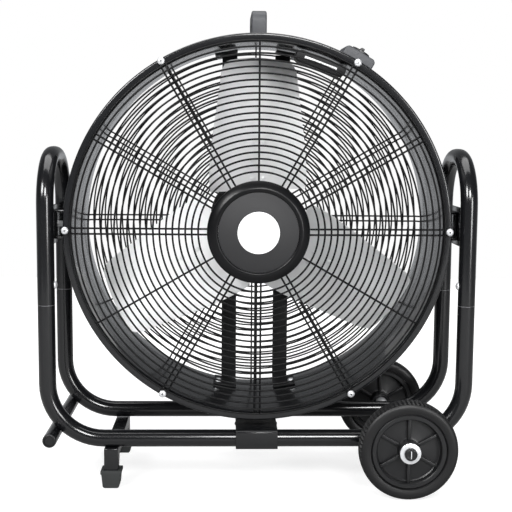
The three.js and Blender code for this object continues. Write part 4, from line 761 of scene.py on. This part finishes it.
# ------------------------------------------------------------------ drum pivots
face_x = LEG_X - 2 - SEAT_GAP
e, r0, r1 = (WALL - d * FACET_SLOPE for d in (48, 26, 22))
hat_outline = [(e, -48), (e + 4, -48), (r0 + 4, -26), (face_x, -26), (face_x, 26), (r0 + 4, 26),
               (e + 4, 48), (e, 48), (r1, 22), (face_x - 4, 22), (face_x - 4, -22), (r1, -22)]
for side, name in SIDES:
    plate = Piece(f"{name}_pivot_sheet", PAINT)
    plate.box((4, 168.6, 70), (side * LEG_X, 0, PIVOT_HEIGHT), HERE, 0.9)
    plate.place([f"{name}_pivot_plate"])
    hat = Piece(f"{name}_pivot_hat", PAINT)
    hat.prism(hat_outline, -20, 20, turn_y(0 if side > 0 else 180))
    hat.rounded(0.9, 2)
    hat.place([f"{name}_pivot_bracket"], "drum", DRUM)
    screws = Piece(f"{name}_bracket_screws", ZINC, 50)
    for z in (-37, 37):
        x = side * (WALL - abs(z) * FACET_SLOPE + 4)
        screws.lathe([(0, -3.4), (2.4, -3.2), (5, -2.4), (6, -1), (6, 0.4), (0, 0.4)], 28,
                     move(x, 0, z) @ turn_z(90 * side))
    screws.place((), "drum", DRUM)
    bolt = Piece(f"{name}_pivot_bolt_head", ZINC, 40)
    bolt_at = move(side * (LEG_X + 2.3), 0, PIVOT_HEIGHT) @ turn_z(90 * side)
    bolt.lathe([(0, -6.8), (8, -6.8), (9.6, -6), (9.9, -5), (9.9, 0), (6, 0), (6, 16), (0, 16)], 6, bolt_at)
    bolt.place([f"{name}_pivot_bolt"])

# ------------------------------------------------------------------ floor, light and camera
scene = bpy.context.scene


def lamp(name, place, target, size, power):
    """A white rectangular lamp aimed at the target, in metres and watts."""
    data = bpy.data.lights.new(name, "AREA")
    data.shape = "RECTANGLE"
    data.size, data.size_y = size
    data.energy = power
    obj = bpy.data.objects.new(name, data)
    scene.collection.objects.link(obj)
    obj.location = place
    obj.rotation_euler = (Vector(target) - Vector(place)).to_track_quat("-Z", "Y").to_euler()
    return obj


def add_node(tree, kind, **values):
    """A node whose inputs hold the values; an underscore in a name stands for a space."""
    node = tree.nodes.new("ShaderNode" + kind)
    for name, value in values.items():
        node.inputs[name.replace("_", " ")].default_value = value
    return node


lights = [
    lamp("key", (-2.0, -2.8, 2.4), (0, 0, 0.5), (1.2, 1.2), 105),
    lamp("fill", (2.0, -3.1, 0.9), (0, 0, 0.4), (0.8, 1.4), 55),
    lamp("top", (0, 0.2, 3.2), (0, 0, 0.4), (3.0, 2.0), 62),
    lamp("front", (0.4, -3.2, 2.1), (0, 0, 0.45), (1.0, 0.8), 75),
    lamp("back", (0.4, 2.8, 1.8), (0, 0, 0.4), (2.4, 1.6), 14),
]
lights[-1].visible_glossy = False  # the back lamp shows in no reflection

FLOOR_HALF, FLOOR_Z = 2.6, -0.001
corners = [(-FLOOR_HALF, -FLOOR_HALF), (FLOOR_HALF, -FLOOR_HALF), (FLOOR_HALF, FLOOR_HALF),
           (-FLOOR_HALF, FLOOR_HALF)]
floor_mesh = bpy.data.meshes.new("floor")
floor_mesh.from_pydata([(x, y, FLOOR_Z) for x, y in corners], [], [(0, 1, 2, 3)])
floor = bpy.data.objects.new("floor", floor_mesh)
scene.collection.objects.link(floor)
floor_mat = bpy.data.materials.new("floor_white")
floor_mat.use_nodes = True
tree = floor_mat.node_tree
link = tree.links.new
# to the camera the grey floor also glows, up to white away from the object, and keeps the shadow
grey = tree.nodes["Principled BSDF"]
grey.inputs["Base Color"].default_value = (0.4, 0.4, 0.4, 1)
grey.inputs["Roughness"].default_value = 0.9
path = add_node(tree, "LightPath")
white = add_node(tree, "Emission", Color=(1, 1, 1, 1))
spot = add_node(tree, "TexCoord")
reach = add_node(tree, "VectorMath")
reach.operation = "LENGTH"
glow = add_node(tree, "MapRange", From_Min=0.55, From_Max=1.2, To_Min=0.78, To_Max=1.0)
shaded = add_node(tree, "AddShader")
mix = add_node(tree, "MixShader")
link(spot.outputs["Object"], reach.inputs[0])
link(reach.outputs["Value"], glow.inputs["Value"])
link(glow.outputs["Result"], white.inputs["Strength"])
link(grey.outputs["BSDF"], shaded.inputs[0])
link(white.outputs["Emission"], shaded.inputs[1])
link(path.outputs["Is Camera Ray"], mix.inputs["Fac"])
link(grey.outputs["BSDF"], mix.inputs[1])
link(shaded.outputs["Shader"], mix.inputs[2])
link(mix.outputs["Shader"], tree.nodes["Material Output"].inputs["Surface"])
floor_mesh.materials.append(floor_mat)

world = bpy.data.worlds.new("studio")
scene.world = world
world.use_nodes = True
tree = world.node_tree
link = tree.links.new
# the world lights the object more from behind and below, and the camera sees it white
sky = tree.nodes["Background"]
sky.inputs["Color"].default_value = (0.85, 0.87, 0.9, 1)
where = add_node(tree, "TexCoord")
parts = add_node(tree, "SeparateXYZ")
behind = add_node(tree, "MapRange", From_Min=0.2, From_Max=0.9, To_Min=0.22, To_Max=0.75)
low = add_node(tree, "MapRange", From_Min=0.0, From_Max=0.15, To_Min=1.0, To_Max=0.36)
strength = add_node(tree, "Math")
strength.operation = "MULTIPLY"
link(where.outputs["Generated"], parts.inputs["Vector"])
link(parts.outputs["Y"], behind.inputs["Value"])
link(parts.outputs["Z"], low.inputs["Value"])
link(behind.outputs["Result"], strength.inputs[0])
link(low.outputs["Result"], strength.inputs[1])
link(strength.outputs["Value"], sky.inputs["Strength"])
backdrop = add_node(tree, "Background", Color=(1, 1, 1, 1), Strength=1.0)
ray = add_node(tree, "LightPath")
pick = add_node(tree, "MixShader")
link(ray.outputs["Is Camera Ray"], pick.inputs["Fac"])
link(sky.outputs["Background"], pick.inputs[1])
link(backdrop.outputs["Background"], pick.inputs[2])
link(pick.outputs["Shader"], tree.nodes["World Output"].inputs["Surface"])

scene.view_settings.view_transform = "Standard"

# the photograph's camera: focal length in its pixels, pitch, yaw and roll in degrees, place in metres
PHOTO_SIZE, CAMERA_FOCAL, SENSOR = 512, 1021, 36
CAMERA_PLACE = (-0.054, -1.861, 0.6125)
pitch, yaw, roll = (math.radians(a) for a in (-6.56, 1.65, 0.42))
forward = Vector((math.sin(yaw) * math.cos(pitch), math.cos(yaw) * math.cos(pitch), math.sin(pitch)))
right = forward.cross(Vector((0, 0, 1))).normalized()
up = right.cross(forward)
right, up = right * math.cos(roll) + up * math.sin(roll), up * math.cos(roll) - right * math.sin(roll)
data = bpy.data.cameras.new("photo_camera")
data.sensor_width = SENSOR
data.lens = CAMERA_FOCAL / PHOTO_SIZE * SENSOR
camera = bpy.data.objects.new("photo_camera", data)
scene.collection.objects.link(camera)
camera.matrix_world = Matrix((
    (right.x, up.x, -forward.x, CAMERA_PLACE[0]), (right.y, up.y, -forward.y, CAMERA_PLACE[1]),
    (right.z, up.z, -forward.z, CAMERA_PLACE[2]), (0, 0, 0, 1)))
scene.camera = camera
